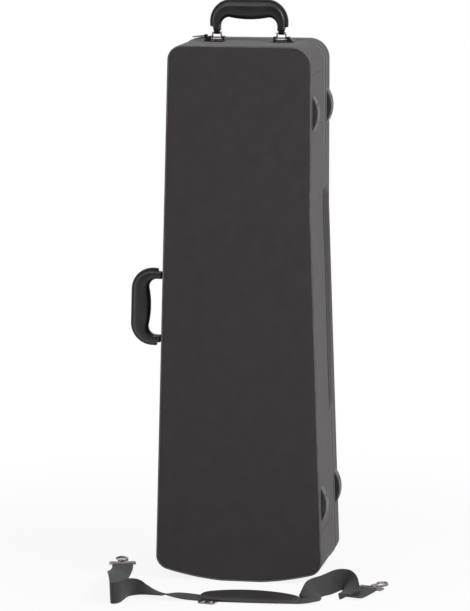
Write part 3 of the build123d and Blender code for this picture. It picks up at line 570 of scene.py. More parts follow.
def welded(piece, distance=0.00002, smooth=40.0):
    """Merges doubled points and turns the faces of a closed piece outwards."""
    build = bmesh.new()
    build.from_mesh(piece.data)
    bmesh.ops.remove_doubles(build, verts=build.verts, dist=distance)
    bmesh.ops.recalc_face_normals(build, faces=build.faces)
    build.to_mesh(piece.data)
    build.free()
    piece.data.shade_smooth()
    piece.data.set_sharp_from_angle(angle=math.radians(smooth))
    return piece


def ripple(a, b):
    """A slow unevenness of glued cloth, from -1 to 1: four crossed sines in metres."""
    return (np.sin(41 * a + 17 * b) + np.sin(-29 * a + 63 * b + 1.3) + np.sin(87 * a + 11 * b + 2.1)
            + np.sin(23 * a - 95 * b + 0.4)) / 4


cover_cloth = weave_material("cover_cloth", (0.0235, 0.0195, 0.0205), (0.050, 0.0425, 0.044), 0.0011)

panel_steps = np.concatenate([np.array([0, 0.004, 0.01, 0.02, 0.035]), np.linspace(0.06, 1, 22)])


def panel_depth(q, flat):
    """The face lies at the front, and drops by the roll over the last few millimetres."""
    inside = np.clip(q * 0.13 / 0.004, 0, 1)
    rolled = FRONT_Y + PANEL_ROLL * (1 - np.sqrt(1 - (1 - inside) ** 2))
    return rolled + PANEL_WAVE * ripple(flat[..., 0], flat[..., 1])


face = panel_mesh(PANEL_EDGE, panel_depth, panel_steps)
under = panel_mesh(PANEL_EDGE, lambda q, flat: np.full(flat.shape[:2], FRONT_Y + PANEL_THICK),
                   np.array([0, 0.5, 1.0]))
panel_points = np.concatenate([under[:, ::-1], face], axis=1)
panel = grid_piece("front_panel_cloth", panel_points, close_rows=True,
                   uv=np.stack([panel_points[..., 0], panel_points[..., 2]], axis=-1))
finished(welded(panel), cover_cloth, "base")
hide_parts("front_cover")


# Wall covers
# Four lengths of the same cloth run round the wall of the base, one for each end and side,
# and meet in cross seams near the ends of the case with a row of stitches beside each.
WALL_Y = (-0.1112, 0.0311)
SEAMS_Z = (0.095, 0.905)
CLOTH_THICK = 0.0023
SEAM_EASE = 0.0022
SEAM_DIP = 0.0011


def length_at(side, z):
    """The length round the outline at which a side, -1 or 1, passes a height."""
    across, high = outline_points[:, 0], outline_points[:, 1]
    chosen = (across * side > 0.09) & (high > 0.03) & (high < 0.915)
    order = np.argsort(outline_points[chosen, 1])
    return float(np.interp(z, outline_points[chosen, 1][order], outline_length[chosen][order]))


def outline_between(start, stop, ease=0.0):
    """The outline from one length to another, past its end if need be; ease adds rows close to
    each end for a turned edge."""
    if stop < start:
        stop += round_trip
    at = np.concatenate([outline_length, outline_length + round_trip])
    inside = at[(at > start + 1.5 * ease + 1e-4) & (at < stop - 1.5 * ease - 1e-4)]
    eases = ease * np.array([0.0, 0.15, 0.4, 1.0]) if ease else np.array([0.0])
    wanted = np.concatenate([start + eases, inside, (stop - eases)[::-1]])
    twice = np.concatenate([outline_points, outline_points])
    twice_out = np.concatenate([outline_out, outline_out])
    points = np.stack([np.interp(wanted, at, twice[:, i]) for i in (0, 1)], axis=1)
    out = unit_rows(np.stack([np.interp(wanted, at, twice_out[:, i]) for i in (0, 1)], axis=1))
    return points, out, wanted


def band_profile(y_range, out_range, crown=0.0, corner=0.0004, count=14):
    """A closed section as pairs of outward and y: an outer face that rises by the crown in its
    middle and is rounded at both corners, and a flat inner face."""
    low, high = y_range
    half = (high - low) / 2
    share = np.sin(np.linspace(-np.pi / 2, np.pi / 2, count))
    past = np.clip((np.abs(share) * half - (half - corner)) / corner, 0, 1)
    outer = out_range[1] + crown * (1 - share ** 2) - corner * (1 - np.sqrt(1 - past ** 2))
    face = np.stack([outer, low + half * (1 + share)], axis=1)
    inner = np.stack([np.full(4, out_range[0]), np.linspace(high, low, 4)], axis=1)
    return np.concatenate([face, inner])


def round_the_case(name, profile, start=None, stop=None, ease=0.0, dip=0.0, wave=0.0, smooth=40.0):
    """Carries a closed section of outward and y pairs along the outline: each of its points
    moves out along the outline's own outward direction."""
    whole = start is None
    if whole:
        points, out, length = outline_points, outline_out, outline_length
    else:
        points, out, length = outline_between(start, stop, ease)
    n = np.broadcast_to(profile[:, 0], (len(points), len(profile))).copy()
    if dip:
        near = np.minimum(length - length[0], length[-1] - length)
        past = np.clip(1 - near / ease, 0, 1)
        n -= dip * (1 - np.sqrt(1 - past ** 2))[:, None] * (profile[:, 0] > profile[:, 0].mean())
    if wave:
        n += wave * ripple(length[:, None], profile[None, :, 1]) * (profile[:, 0] > profile[:, 0].mean())
    place = points[:, None] + out[:, None] * n[..., None]
    grid = np.stack([place[..., 0], np.broadcast_to(profile[:, 1], n.shape), place[..., 1]], axis=-1)
    across = lengths_along(profile)
    uv = np.stack(np.broadcast_arrays(length[:, None], across[None, :]), axis=-1)
    if whole:
        return welded(grid_piece(name, grid, close_rows=True, close_columns=True, uv=uv), smooth=smooth)
    return capped_piece(name, grid, uv=uv, smooth=smooth)


def stitch_row(name, centres, along, out, long, wide, proud):
    """Thread that shows between needle holes: each stitch is an ellipsoid with its length along
    the seam, given by two angles, all in one mesh."""
    centres, along, out = np.atleast_2d(centres), unit_rows(along), unit_rows(out)
    across = np.cross(along, out)
    polar = np.linspace(0, np.pi, 6)[1:-1]
    turn = np.linspace(0, 2 * np.pi, 6, endpoint=False)
    axial = np.cos(polar)[:, None] * long / 2
    radial = np.sin(polar)[:, None]
    body = (centres[:, None, None] + along[:, None, None] * np.broadcast_to(axial, (4, 6))[None, ..., None]
            + across[:, None, None] * (radial * np.cos(turn) * wide / 2)[None, ..., None]
            + out[:, None, None] * (radial * np.sin(turn) * proud)[None, ..., None])
    tips = centres[:, None] + along[:, None] * (np.array([1, -1]) * long / 2)[None, :, None]
    each = 26
    points = np.concatenate([body.reshape(len(centres), 24, 3), tips], axis=1).reshape(-1, 3)
    faces = []
    for r in range(3):
        for c in range(6):
            d = (c + 1) % 6
            faces.append([r * 6 + c, r * 6 + d, (r + 1) * 6 + d, (r + 1) * 6 + c])
    faces += [[24, (c + 1) % 6, c] for c in range(6)] + [[25, 18 + c, 18 + (c + 1) % 6] for c in range(6)]
    mesh = bpy.data.meshes.new(name)
    every = [[i + s * each for i in f] for s in range(len(centres)) for f in faces]
    mesh.from_pydata(points.tolist(), [], every)
    mesh.update()
    mesh.shade_smooth()
    piece = bpy.data.objects.new(name, mesh)
    bpy.context.scene.collection.objects.link(piece)
    return piece


def thread_material():
    """Waxed dark thread with a slight twist to its sheen."""
    material, tree, shader = new_material("thread")
    coordinates = tree.nodes.new("ShaderNodeTexCoord")
    noise = tree.nodes.new("ShaderNodeTexNoise")
    noise.inputs["Scale"].default_value = 900.0
    tree.links.new(coordinates.outputs["Object"], noise.inputs["Vector"])
    ramp = tree.nodes.new("ShaderNodeValToRGB")
    ramp.color_ramp.elements[0].color = (0.07, 0.065, 0.066, 1)
    ramp.color_ramp.elements[1].color = (0.15, 0.14, 0.14, 1)
    tree.links.new(noise.outputs["Fac"], ramp.inputs["Fac"])
    tree.links.new(ramp.outputs["Color"], shader.inputs["Base Color"])
    shader.inputs["Roughness"].default_value = 0.5
    return material


def stitches_round(name, y_rows, out, pitch, start=None, stop=None, body="base"):
    """Rows of stitches that follow the outline at set depths."""
    first, last = (0.0, round_trip) if start is None else (start, stop if stop > start else stop + round_trip)
    wanted = np.arange(first + pitch / 2, last, pitch)
    at = np.concatenate([outline_length, outline_length + round_trip])
    twice, twice_out = np.concatenate([outline_points] * 2), np.concatenate([outline_out] * 2)
    p = np.stack([np.interp(wanted, at, twice[:, i]) for i in (0, 1)], axis=1)
    o = unit_rows(np.stack([np.interp(wanted, at, twice_out[:, i]) for i in (0, 1)], axis=1))
    centres, ways, outs = [], [], []
    for y in y_rows:
        place = p + o * out
        centres.append(np.stack([place[:, 0], np.full(len(p), y), place[:, 1]], axis=1))
        ways.append(np.stack([o[:, 1], np.zeros(len(o)), -o[:, 0]], axis=1))
        outs.append(np.stack([o[:, 0], np.zeros(len(o)), o[:, 1]], axis=1))
    piece = stitch_row(name, np.concatenate(centres), np.concatenate(ways), np.concatenate(outs),
                       pitch * 0.72, 0.0007, 0.0003)
    return finished(piece, thread, body)


thread = thread_material()
wall_profile = band_profile(WALL_Y, (-CLOTH_THICK, -0.0001), corner=0.0008, count=24)
seam_low, seam_high = [[length_at(side, z) for side in (-1, 1)] for z in SEAMS_Z]
walls = {
    "top_end": (seam_high[0], seam_high[1]),
    "foot_side": (seam_high[1], seam_low[1]),
    "bottom_end": (seam_low[1], seam_low[0]),
    "handle_side": (seam_low[0], seam_high[0]),
}
for name, (start, stop) in walls.items():
    wall = round_the_case(name + "_cloth", wall_profile, start, stop, ease=SEAM_EASE, dip=SEAM_DIP,
                          wave=0.00022)
    finished(wall, cover_cloth, "base")
    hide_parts(name + "_cover")

seam_stitch_y = np.arange(WALL_Y[0] + 0.004, WALL_Y[1] - 0.002, 0.0034)
for name, (side, z) in {"seam_top_left": (-1, SEAMS_Z[1]), "seam_top_right": (1, SEAMS_Z[1]),
                        "seam_low_left": (-1, SEAMS_Z[0]), "seam_low_right": (1, SEAMS_Z[0])}.items():
    inward = 1 if z > 0.5 else -1
    at = length_at(side, z + inward * 0.0032)
    p = np.array([np.interp(at, outline_length, outline_points[:, i]) for i in (0, 1)])
    o = np.array([np.interp(at, outline_length, outline_out[:, i]) for i in (0, 1)])
    centres = np.tile([p[0], 0.0, p[1]], (len(seam_stitch_y), 1))
    centres[:, 1] = seam_stitch_y
    row = stitch_row(name, centres, np.tile([[0.0, 1.0, 0.0]], (len(centres), 1)),
                     np.tile([[o[0], 0.0, o[1]]], (len(centres), 1)), 0.0025, 0.0007, 0.0003)
    finished(row, thread, "base")


# Front piping
# A satin vinyl cord sewn between the panel and the wall; it covers the seam all round the
# front and catches the light as a thin line.
PIPING_RADIUS = 0.0016
PIPING_Y = -0.1122


def vinyl_material(name, dark, light, roughness):
    """Soft moulded vinyl, finely creased, a little lighter where it is rubbed."""
    material, tree, shader = new_material(name)
    coordinates = tree.nodes.new("ShaderNodeTexCoord")
    fine = tree.nodes.new("ShaderNodeTexNoise")
    fine.inputs["Scale"].default_value = 700.0
    fine.inputs["Detail"].default_value = 5.0
    rubbed = tree.nodes.new("ShaderNodeTexNoise")
    rubbed.inputs["Scale"].default_value = 60.0
    rubbed.inputs["Detail"].default_value = 4.0
    for noise in (fine, rubbed):
        tree.links.new(coordinates.outputs["Object"], noise.inputs["Vector"])
    ramp = tree.nodes.new("ShaderNodeValToRGB")
    ramp.color_ramp.elements[0].position = 0.3
    ramp.color_ramp.elements[0].color = (*dark, 1)
    ramp.color_ramp.elements[1].position = 0.75
    ramp.color_ramp.elements[1].color = (*light, 1)
    tree.links.new(rubbed.outputs["Fac"], ramp.inputs["Fac"])
    tree.links.new(ramp.outputs["Color"], shader.inputs["Base Color"])
    bump = tree.nodes.new("ShaderNodeBump")
    bump.inputs["Strength"].default_value = 0.25
    bump.inputs["Distance"].default_value = 0.00015
    tree.links.new(fine.outputs["Fac"], bump.inputs["Height"])
    tree.links.new(bump.outputs["Normal"], shader.inputs["Normal"])
    shader.inputs["Roughness"].default_value = roughness
    return material


a = np.linspace(0, 2 * np.pi, 16, endpoint=False)
piping_profile = np.stack([-0.0018 + PIPING_RADIUS * np.cos(a), PIPING_Y + PIPING_RADIUS * np.sin(a)], axis=1)
piping = round_the_case("front_piping_cord", piping_profile)
finished(piping, vinyl_material("piping_vinyl", (0.065, 0.058, 0.059), (0.12, 0.108, 0.108), 0.42), "base")
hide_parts("front_piping")


# Rim bindings
# A woven tape folded over each rim of the case, with a row of stitches along both edges.
# The lid's tape is the narrower one.
BASE_BINDING_Y = (0.0307, 0.0403)
LID_BINDING_Y = (0.0558, 0.0623)
binding_tape = weave_material("binding_tape", (0.085, 0.077, 0.080), (0.155, 0.142, 0.146), 0.0007,
                              mottle=0.35, roughness=0.6, sheen=0.1)
for name, body, y_range, node in (("base_binding_tape", "base", BASE_BINDING_Y, "base_rim_binding"),
                                  ("lid_binding_tape", "lid", LID_BINDING_Y, "lid_rim_binding")):
    profile = band_profile(y_range, (-0.0024, 0.0003), crown=0.0005, corner=0.0008, count=12)
    tape = round_the_case(name, profile)
    finished(tape, binding_tape, body)
    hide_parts(node)
    rows = (y_range[0] + 0.0015, y_range[1] - 0.0015)
    stitches_round(name + "_stitches", rows, 0.0006, 0.0035, body=body)


# Zip
# A coil zip runs round the case except along the cloth hinge: on each half a woven tape
# carries a row of nylon teeth, and the two rows meet on the parting line.
TEETH_PITCH = 0.0022
HINGE_Z = (0.290, 0.690)
zip_from, zip_to = length_at(1, HINGE_Z[0]), length_at(1, HINGE_Z[1])
zip_tape = weave_material("zip_tape", (0.010, 0.009, 0.010), (0.026, 0.024, 0.025), 0.0006, mottle=0.3,
                          roughness=0.75, sheen=0.05)
coil_nylon = vinyl_material("coil_nylon", (0.018, 0.017, 0.018), (0.045, 0.043, 0.044), 0.38)


def teeth_mesh(name, y_root, y_tip):
    """A ridge that rises and falls once a tooth along the zip: its tip reaches the parting line on
    the crest of each sine and draws back between teeth."""
    start, stop = zip_from, zip_to + round_trip
    wanted = np.arange(start, stop, TEETH_PITCH / 6)
    at = np.concatenate([outline_length, outline_length + round_trip])
    twice, twice_out = np.concatenate([outline_points] * 2), np.concatenate([outline_out] * 2)
    p = np.stack([np.interp(wanted, at, twice[:, i]) for i in (0, 1)], axis=1)
    o = unit_rows(np.stack([np.interp(wanted, at, twice_out[:, i]) for i in (0, 1)], axis=1))
    wave = 0.5 + 0.5 * np.sin(2 * np.pi * wanted / TEETH_PITCH)
    angle = np.linspace(0, 2 * np.pi, 8, endpoint=False)
    middle, half = (y_root + y_tip) / 2, (y_tip - y_root) / 2
    y = middle + half * np.cos(angle)[None] * (1 - 0.22 * (1 - wave[:, None]) * (np.cos(angle)[None] > 0))
    n = -0.0016 + 0.0014 * np.sin(angle)[None] * (0.72 + 0.28 * wave[:, None])
    place = p[:, None] + o[:, None] * n[..., None]
    return capped_piece(name, np.stack([place[..., 0], y, place[..., 1]], axis=-1), smooth=70.0)


for half, body, tape_y, root, tip in (("base", "base", (0.0398, 0.0466), 0.0460, 0.0497),
                                      ("lid", "lid", (0.0534, 0.0560), 0.0540, 0.0503)):
    profile = band_profile(tape_y, (-0.0019, -0.0008), corner=0.0003, count=8)
    tape = round_the_case("zip_tape_" + half, profile, zip_from, zip_to + round_trip)
    finished(tape, zip_tape, body)
    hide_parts(half + "_zip_tape")
    teeth = teeth_mesh("zip_teeth_" + half, root, tip)
    finished(teeth, coil_nylon, body)
    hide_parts(half + "_zip_coil")


# Lid cover
# One fitted cover of the same cloth over the lid's plywood: its sides turn into the flat
# back over a broad rounding, where the cloth is stretched smooth.
LID_COVER_Y = 0.0622
BACK_Y = 0.114
BACK_ROUND = 0.014
LID_CLEARANCE = 0.001


def shell_profile(skin, y_rim, y_back, radius, steps=12):
    """Outward and y pairs from a shell's rim to where its flat begins: a straight wall, then a
    quarter circle; skin is how far the face lies inside the outline."""
    wall = np.linspace(y_rim, y_back - radius, 9)
    turn = np.linspace(0, np.pi / 2, steps)[1:]
    n = np.concatenate([np.full(9, -skin), -skin - radius * (1 - np.cos(turn))])
    y = np.concatenate([wall, y_back - radius + radius * np.sin(turn)])
    return np.stack([n, y], axis=1)


def shell_grid(profile, shares, wave=0.0, floor=0.0):
    """Carries a profile round the outline and goes on from its end to the line up the middle, at
    set shares of the way; no point goes under the floor height given."""
    n, y = profile[:, 0], profile[:, 1]
    ring = outline_points[:, None] + outline_out[:, None] * n[None, :, None]
    last = ring[:, -1]
    spine = spine_below(last)
    q = np.asarray(shares)[None, :, None]
    flat = last[:, None] * (1 - q) + spine[:, None] * q
    every = np.concatenate([ring, flat], axis=1)
    depth = np.concatenate([y, np.full(len(shares), y[-1])])
    z = np.maximum(every[..., 1], floor)
    grid = np.stack([every[..., 0], np.broadcast_to(depth, z.shape), z], axis=-1)
    if wave:
        grid[..., 1] += wave * ripple(grid[..., 0], grid[..., 2]) * (np.arange(grid.shape[1]) >= len(n))
    return grid


def shell_uv(grid, profile):
    """Length round the outline and along the profile on the walls, plain x and z on the flat."""
    uv = np.stack([grid[..., 0], grid[..., 2]], axis=-1)
    wall = lengths_along(profile)
    uv[:, :len(profile), 0] = outline_length[:, None]
    uv[:, :len(profile), 1] = 2.0 + wall
    return uv


flat_shares = np.linspace(0, 1, 20)[1:]
outer_profile = shell_profile(0.0001, LID_COVER_Y, BACK_Y - 0.0001, BACK_ROUND)
inner_profile = shell_profile(CLOTH_THICK, LID_COVER_Y, BACK_Y - CLOTH_THICK, BACK_ROUND - CLOTH_THICK)
outer_grid = shell_grid(outer_profile, flat_shares, wave=-0.0002, floor=LID_CLEARANCE)
inner_grid = shell_grid(inner_profile, np.array([1.0]), floor=LID_CLEARANCE)[:, ::-1]
uv = np.concatenate([shell_uv(outer_grid, outer_profile), np.zeros(inner_grid.shape[:2] + (2,))], axis=1)
lid_cloth = grid_piece("lid_cover_cloth", np.concatenate([outer_grid, inner_grid], axis=1), close_rows=True,
                       close_columns=True, uv=uv)
finished(welded(lid_cloth), cover_cloth, "lid")
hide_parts("lid_cover")


# Cloth hinge
# A doubled strip of the cover cloth joins base and lid on the feet side. It is sewn to both
# along its long edges and bridges the parting in a low soft ridge.
HINGE_SEAM_Y = (0.0284, 0.0716)
HINGE_FOLD_TOP = (0.1289, 0.920)
HINGE_FOLD_BOTTOM = (0.1509, 0.020)
HINGE_END = 0.016


def wall_x(z):
    """The feet side's x at a height, read from the outline."""
    chosen = (outline_points[:, 0] > 0.09) & (outline_points[:, 1] > 0.03) & (outline_points[:, 1] < 0.915)
    order = np.argsort(outline_points[chosen, 1])
    return np.interp(z, outline_points[chosen, 1][order], outline_points[chosen, 0][order])


def hinge_mesh():
    """Across, a raised cosine from seam to seam; up, it keeps that height and sinks to the wall
    as a quarter cosine over both ends."""
    z = np.linspace(HINGE_Z[0], HINGE_Z[1], 90)
    y = np.linspace(*HINGE_SEAM_Y, 41)
    share = (y - y[0]) / (y[-1] - y[0])
    slope = (HINGE_FOLD_BOTTOM[0] - HINGE_FOLD_TOP[0]) / (HINGE_FOLD_TOP[1] - HINGE_FOLD_BOTTOM[1])
    fold = HINGE_FOLD_TOP[0] + slope * (HINGE_FOLD_TOP[1] - z)
    proud = fold - wall_x(z)
    ends = np.clip(np.minimum(z - z[0], z[-1] - z) / HINGE_END, 0, 1)
    proud = proud * np.sin(ends * np.pi / 2) ** 0.5
    hump = (0.5 - 0.5 * np.cos(2 * np.pi * share)) ** 0.7
    x = wall_x(z)[:, None] + 0.0006 + proud[:, None] * hump[None] + 0.0002 * ripple(z[:, None] * 2, y[None])
    outer = np.stack(np.broadcast_arrays(x, y[None], z[:, None]), axis=-1)
    inner = outer - np.array([0.0014, 0, 0])
    points = np.concatenate([outer, inner[:, ::-1]], axis=1)
    across = np.concatenate([y, y[::-1] + 1.0])
    return points, np.stack(np.broadcast_arrays(z[:, None], across[None]), axis=-1)


hinge_points, hinge_uv = hinge_mesh()
hinge = capped_piece("hinge_strip", hinge_points, uv=hinge_uv)
hinge.data.materials.append(cover_cloth)
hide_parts("base_hinge_leaf", "lid_hinge_leaf")
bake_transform(hinge)
for side, body, y in (("base", "base", HINGE_SEAM_Y[0] + 0.0022), ("lid", "lid", HINGE_SEAM_Y[1] - 0.0022)):
    z = np.arange(HINGE_Z[0] + 0.004, HINGE_Z[1] - 0.002, 0.0036)
    centres = np.stack([wall_x(z) + 0.0011, np.full(len(z), y), z], axis=1)
    row = stitch_row("hinge_stitches_" + side, centres, np.gradient(centres, axis=0),
                     np.tile([[1.0, 0.0, 0.0]], (len(z), 1)), 0.0026, 0.0007, 0.0004)
    finished(row, thread, body)


# Carrying handles
# Each is leather sewn over a foam core: an arch with a swell for the palm, and round its
# outside a flat sewn edge. A tongue at each leg's end goes round a steel ring.
GRIP_HALF_DEPTH = 0.010
GRIP_LEG_X = (0.0505, 0.0655)
GRIP_TOP = 0.0705
GRIP_FOOT = 0.0185
GRIP_UNDER = (0.0430, 0.0393)
GRIP_CORNERS = (0.015, 0.035)
FLANGE_OUT = 0.0050
FLANGE_HALF = 0.0014
FLANGE_FOOT = 0.026
RING_BAR = 0.0155
RING_MIDDLE = 0.058
HANDLE_Y = -0.010
SIDE_HANDLE_Z = 0.475
side_tilt = math.atan2(CASE_TOP_X[0] - CASE_BOTTOM_X[0], CASE_HEIGHT)
side_x = CASE_BOTTOM_X[0] + (CASE_TOP_X[0] - CASE_BOTTOM_X[0]) * SIDE_HANDLE_Z / CASE_HEIGHT
handle_places = {
    "top": np.array([[1, 0, 0], [0, 1, 0], [0, 0, 1], [0.0009, HANDLE_Y, CASE_HEIGHT]], dtype=float),
    "side": np.array([[math.sin(side_tilt), 0, math.cos(side_tilt)], [0, 1, 0],
                      [-math.cos(side_tilt), 0, math.sin(side_tilt)], [side_x, HANDLE_Y, SIDE_HANDLE_Z]]),
}


def placed(points, place):
    """Takes u along the wall, v across it and w out of it to their place on the case."""
    return points @ place[:3] + place[3]


def arch_rails(steps=14):
    """Pairs of inner and outer points up the left leg, round a corner of two arcs that share
    their angles, and along the top, whose underside is a shallow parabola; then mirrored."""
    leg_in, leg_out = GRIP_LEG_X
    inner_r, outer_r = GRIP_CORNERS
    up = np.linspace(0, 1, steps)
    foot_w = GRIP_FOOT + up * (GRIP_UNDER[0] - inner_r - GRIP_FOOT)
    outer_w = GRIP_FOOT + up * (GRIP_TOP - outer_r - GRIP_FOOT)
    leg_a = np.stack([np.full(steps, -leg_in), foot_w], axis=1)
    leg_b = np.stack([-leg_out + 0.001 * (1 - up), outer_w], axis=1)
    turn = np.radians(np.linspace(180, 90, steps + 4))[1:, None]
    arc = np.concatenate([np.cos(turn), np.sin(turn)], axis=1)
    corner_a = np.array([-leg_in + inner_r, GRIP_UNDER[0] - inner_r]) + inner_r * arc
    corner_b = np.array([-leg_out + outer_r, GRIP_TOP - outer_r]) + outer_r * arc
    half_a, half_b = leg_in - inner_r, leg_out - outer_r
    t = np.linspace(-1, 0, 16)[1:]
    top_a = np.stack([t * half_a, GRIP_UNDER[1] + (GRIP_UNDER[0] - GRIP_UNDER[1]) * t ** 2], axis=1)
    top_b = np.stack([t * half_b, np.full(len(t), GRIP_TOP)], axis=1)
    a, b = np.concatenate([leg_a, corner_a, top_a]), np.concatenate([leg_b, corner_b, top_b])
    mirrored = np.array([-1.0, 1.0])
    return np.concatenate([a, a[-2::-1] * mirrored]), np.concatenate([b, b[-2::-1] * mirrored])


def grip_points():
    """Round each station an angle a goes from the inner rail to the outer one as cos a, and to
    both faces as sin a, each to a power that squares the section; the ends draw in."""
    inner, outer = arch_rails()
    middle, half = (inner + outer) / 2, (outer - inner) / 2
    count = len(middle)
    ends = np.minimum(np.arange(count), np.arange(count)[::-1])
    draw = np.sqrt(1 - (1 - np.clip((ends + 0.35) / 3, 0, 1)) ** 2)
    a = np.linspace(0, 2 * np.pi, 48, endpoint=False)
    c, s = np.cos(a), np.sin(a)
    c, s = np.sign(c) * np.abs(c) ** 0.62, np.sign(s) * np.abs(s) ** 0.7
    plane = middle[:, None] + half[:, None] * (c[None] * draw[:, None])[..., None]
    palm = (1 - 0.05 * np.cos(np.linspace(0, 2 * np.pi, count))) / 1.05
    v = GRIP_HALF_DEPTH * s[None] * (draw * palm)[:, None]
    return np.stack([plane[..., 0], np.broadcast_to(v, plane.shape[:2]), plane[..., 1]], axis=-1)


def flange_points():
    """A thin band carried round the arch: from just inside the grip's outside to its sewn edge,
    whose end is a half circle."""
    leg_out = GRIP_LEG_X[1]
    outer_r = GRIP_CORNERS[1]
    up = np.linspace(0, 1, 10)[:-1]
    leg = np.stack([np.full(9, -leg_out), FLANGE_FOOT + up * (GRIP_TOP - outer_r - FLANGE_FOOT)], axis=1)
    turn = np.radians(np.linspace(180, 90, 18))
    out = np.stack([np.cos(turn), np.sin(turn)], axis=1)
    corner = np.array([-leg_out + outer_r, GRIP_TOP - outer_r]) + outer_r * out
    t = np.linspace(-1, 0, 14)[1:]
    top = np.stack([t * (leg_out - outer_r), np.full(13, GRIP_TOP)], axis=1)
    rail = np.concatenate([leg, corner, top])
    out = np.concatenate([np.tile([[-1.0, 0.0]], (9, 1)), out, np.tile([[0.0, 1.0]], (13, 1))])
    mirrored = np.array([-1.0, 1.0])
    return np.concatenate([rail, rail[-2::-1] * mirrored]), np.concatenate([out, out[-2::-1] * mirrored])


def flange_mesh(rail, out):
    angle = np.linspace(-np.pi / 2, np.pi / 2, 9)
    reach = np.concatenate([[-0.0016], FLANGE_OUT - FLANGE_HALF * (1 - np.cos(angle)), [-0.0016]])
    side = np.concatenate([[-FLANGE_HALF], FLANGE_HALF * np.sin(angle), [FLANGE_HALF]])
    ends = np.minimum(np.arange(len(rail)), np.arange(len(rail))[::-1])
    draw = 0.35 + 0.65 * np.sqrt(1 - (1 - np.clip(ends / 3, 0, 1)) ** 2)
    plane = rail[:, None] + out[:, None] * (reach[None] * draw[:, None])[..., None]
    return np.stack([plane[..., 0], np.broadcast_to(side, plane.shape[:2]), plane[..., 1]], axis=-1)


def tongue_points(sign):
    """Leather wrapped round the ring's bar: across it a half circle with straight sides up into
    the leg, and along the bar it keeps that section between rounded ends."""
    s = np.sin(np.linspace(-np.pi / 2, np.pi / 2, 12))
    draw = np.maximum(1 - np.abs(s) ** 8, 0.0) ** 0.5 * 0.6 + 0.4
    turn = np.radians(np.linspace(180, 360, 13))
    v = np.concatenate([0.0040 * np.cos(turn), [0.0040, 0.0034, -0.0034, -0.0040]])
    root = GRIP_FOOT + np.array([0.0, 0.003, 0.003, 0.0])
    w = np.concatenate([RING_BAR + 0.0011 + 0.0040 * np.sin(turn), root])
    middle = RING_BAR + 0.002
    points = np.empty((len(s), len(v), 3))
    points[..., 0] = sign * RING_MIDDLE + s[:, None] * 0.0055
    points[..., 1] = v[None] * draw[:, None]
    points[..., 2] = middle + (w - middle)[None] * (0.55 + 0.45 * draw[:, None])
    return points


def leather_material():
    """Black leather: a net of fine cells with raised centres, over a slow change of gloss."""
    material, tree, shader = new_material("handle_leather")
    coordinates = tree.nodes.new("ShaderNodeTexCoord")
    cells = tree.nodes.new("ShaderNodeTexVoronoi")
    cells.inputs["Scale"].default_value = 780.0
    slow = tree.nodes.new("ShaderNodeTexNoise")
    slow.inputs["Scale"].default_value = 45.0
    slow.inputs["Detail"].default_value = 5.0
    for texture in (cells, slow):
        tree.links.new(coordinates.outputs["Object"], texture.inputs["Vector"])
    ramp = tree.nodes.new("ShaderNodeValToRGB")
    ramp.color_ramp.elements[0].position = 0.3
    ramp.color_ramp.elements[0].color = (0.007, 0.0062, 0.0066, 1)
    ramp.color_ramp.elements[1].position = 0.75
    ramp.color_ramp.elements[1].color = (0.020, 0.018, 0.0185, 1)
    tree.links.new(slow.outputs["Fac"], ramp.inputs["Fac"])
    tree.links.new(ramp.outputs["Color"], shader.inputs["Base Color"])
    gloss = tree.nodes.new("ShaderNodeMapRange")
    gloss.inputs["To Min"].default_value = 0.22
    gloss.inputs["To Max"].default_value = 0.40
    tree.links.new(slow.outputs["Fac"], gloss.inputs["Value"])
    tree.links.new(gloss.outputs["Result"], shader.inputs["Roughness"])
    bump = tree.nodes.new("ShaderNodeBump")
    bump.invert = True
    bump.inputs["Strength"].default_value = 0.35
    bump.inputs["Distance"].default_value = 0.0003
    tree.links.new(cells.outputs["Distance"], bump.inputs["Height"])
    tree.links.new(bump.outputs["Normal"], shader.inputs["Normal"])
    return material


leather = leather_material()
black_metal = metal_material("black_metal", (0.018, 0.017, 0.017), (0.055, 0.052, 0.050), 0.40, metallic=0.6)
bright_steel = metal_material("bright_steel", (0.42, 0.41, 0.40), (0.72, 0.70, 0.68), 0.22)
for name, place in handle_places.items():
    body = name + "_handle"
    grip = capped_piece(body + "_leather", placed(grip_points(), place), smooth=60.0)
    finished(grip, leather, body)
    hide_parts(body + "_grip")
    for side, sign in (("a", -1), ("b", 1)):
        tongue = capped_piece(body + "_tongue_" + side, placed(tongue_points(sign), place), smooth=50.0)
        finished(tongue, leather, body)
    rail, out = flange_points()
    flange = capped_piece(body + "_sewn_edge", placed(flange_mesh(rail, out), place), smooth=50.0)
    finished(flange, leather, body)
    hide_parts(body + "_flange")
    line = rail + out * 0.0028
    at = np.arange(0.004, lengths_along(line)[-1] - 0.004, 0.0046)
    line = np.stack([np.interp(at, lengths_along(line), line[:, i]) for i in (0, 1)], axis=1)
    way = np.gradient(line, axis=0)
    centres, ways, outs = [], [], []
    for face in (-1, 1):
        centres.append(np.stack([line[:, 0], np.full(len(line), face * FLANGE_HALF), line[:, 1]], axis=1))
        ways.append(np.stack([way[:, 0], np.zeros(len(line)), way[:, 1]], axis=1))
        outs.append(np.tile([[0.0, face, 0.0]], (len(line), 1)))
    turned = place.copy()
    turned[3] = 0.0
    row = stitch_row(body + "_stitches", placed(np.concatenate(centres), place),
                     placed(np.concatenate(ways), turned), placed(np.concatenate(outs), turned),
                     0.0033, 0.0008, 0.0004)
    finished(row, thread, body)
dress(black_metal, "top_handle_brackets", "side_handle_brackets")
dress(bright_steel, "top_handle_rings", "side_handle_rings")


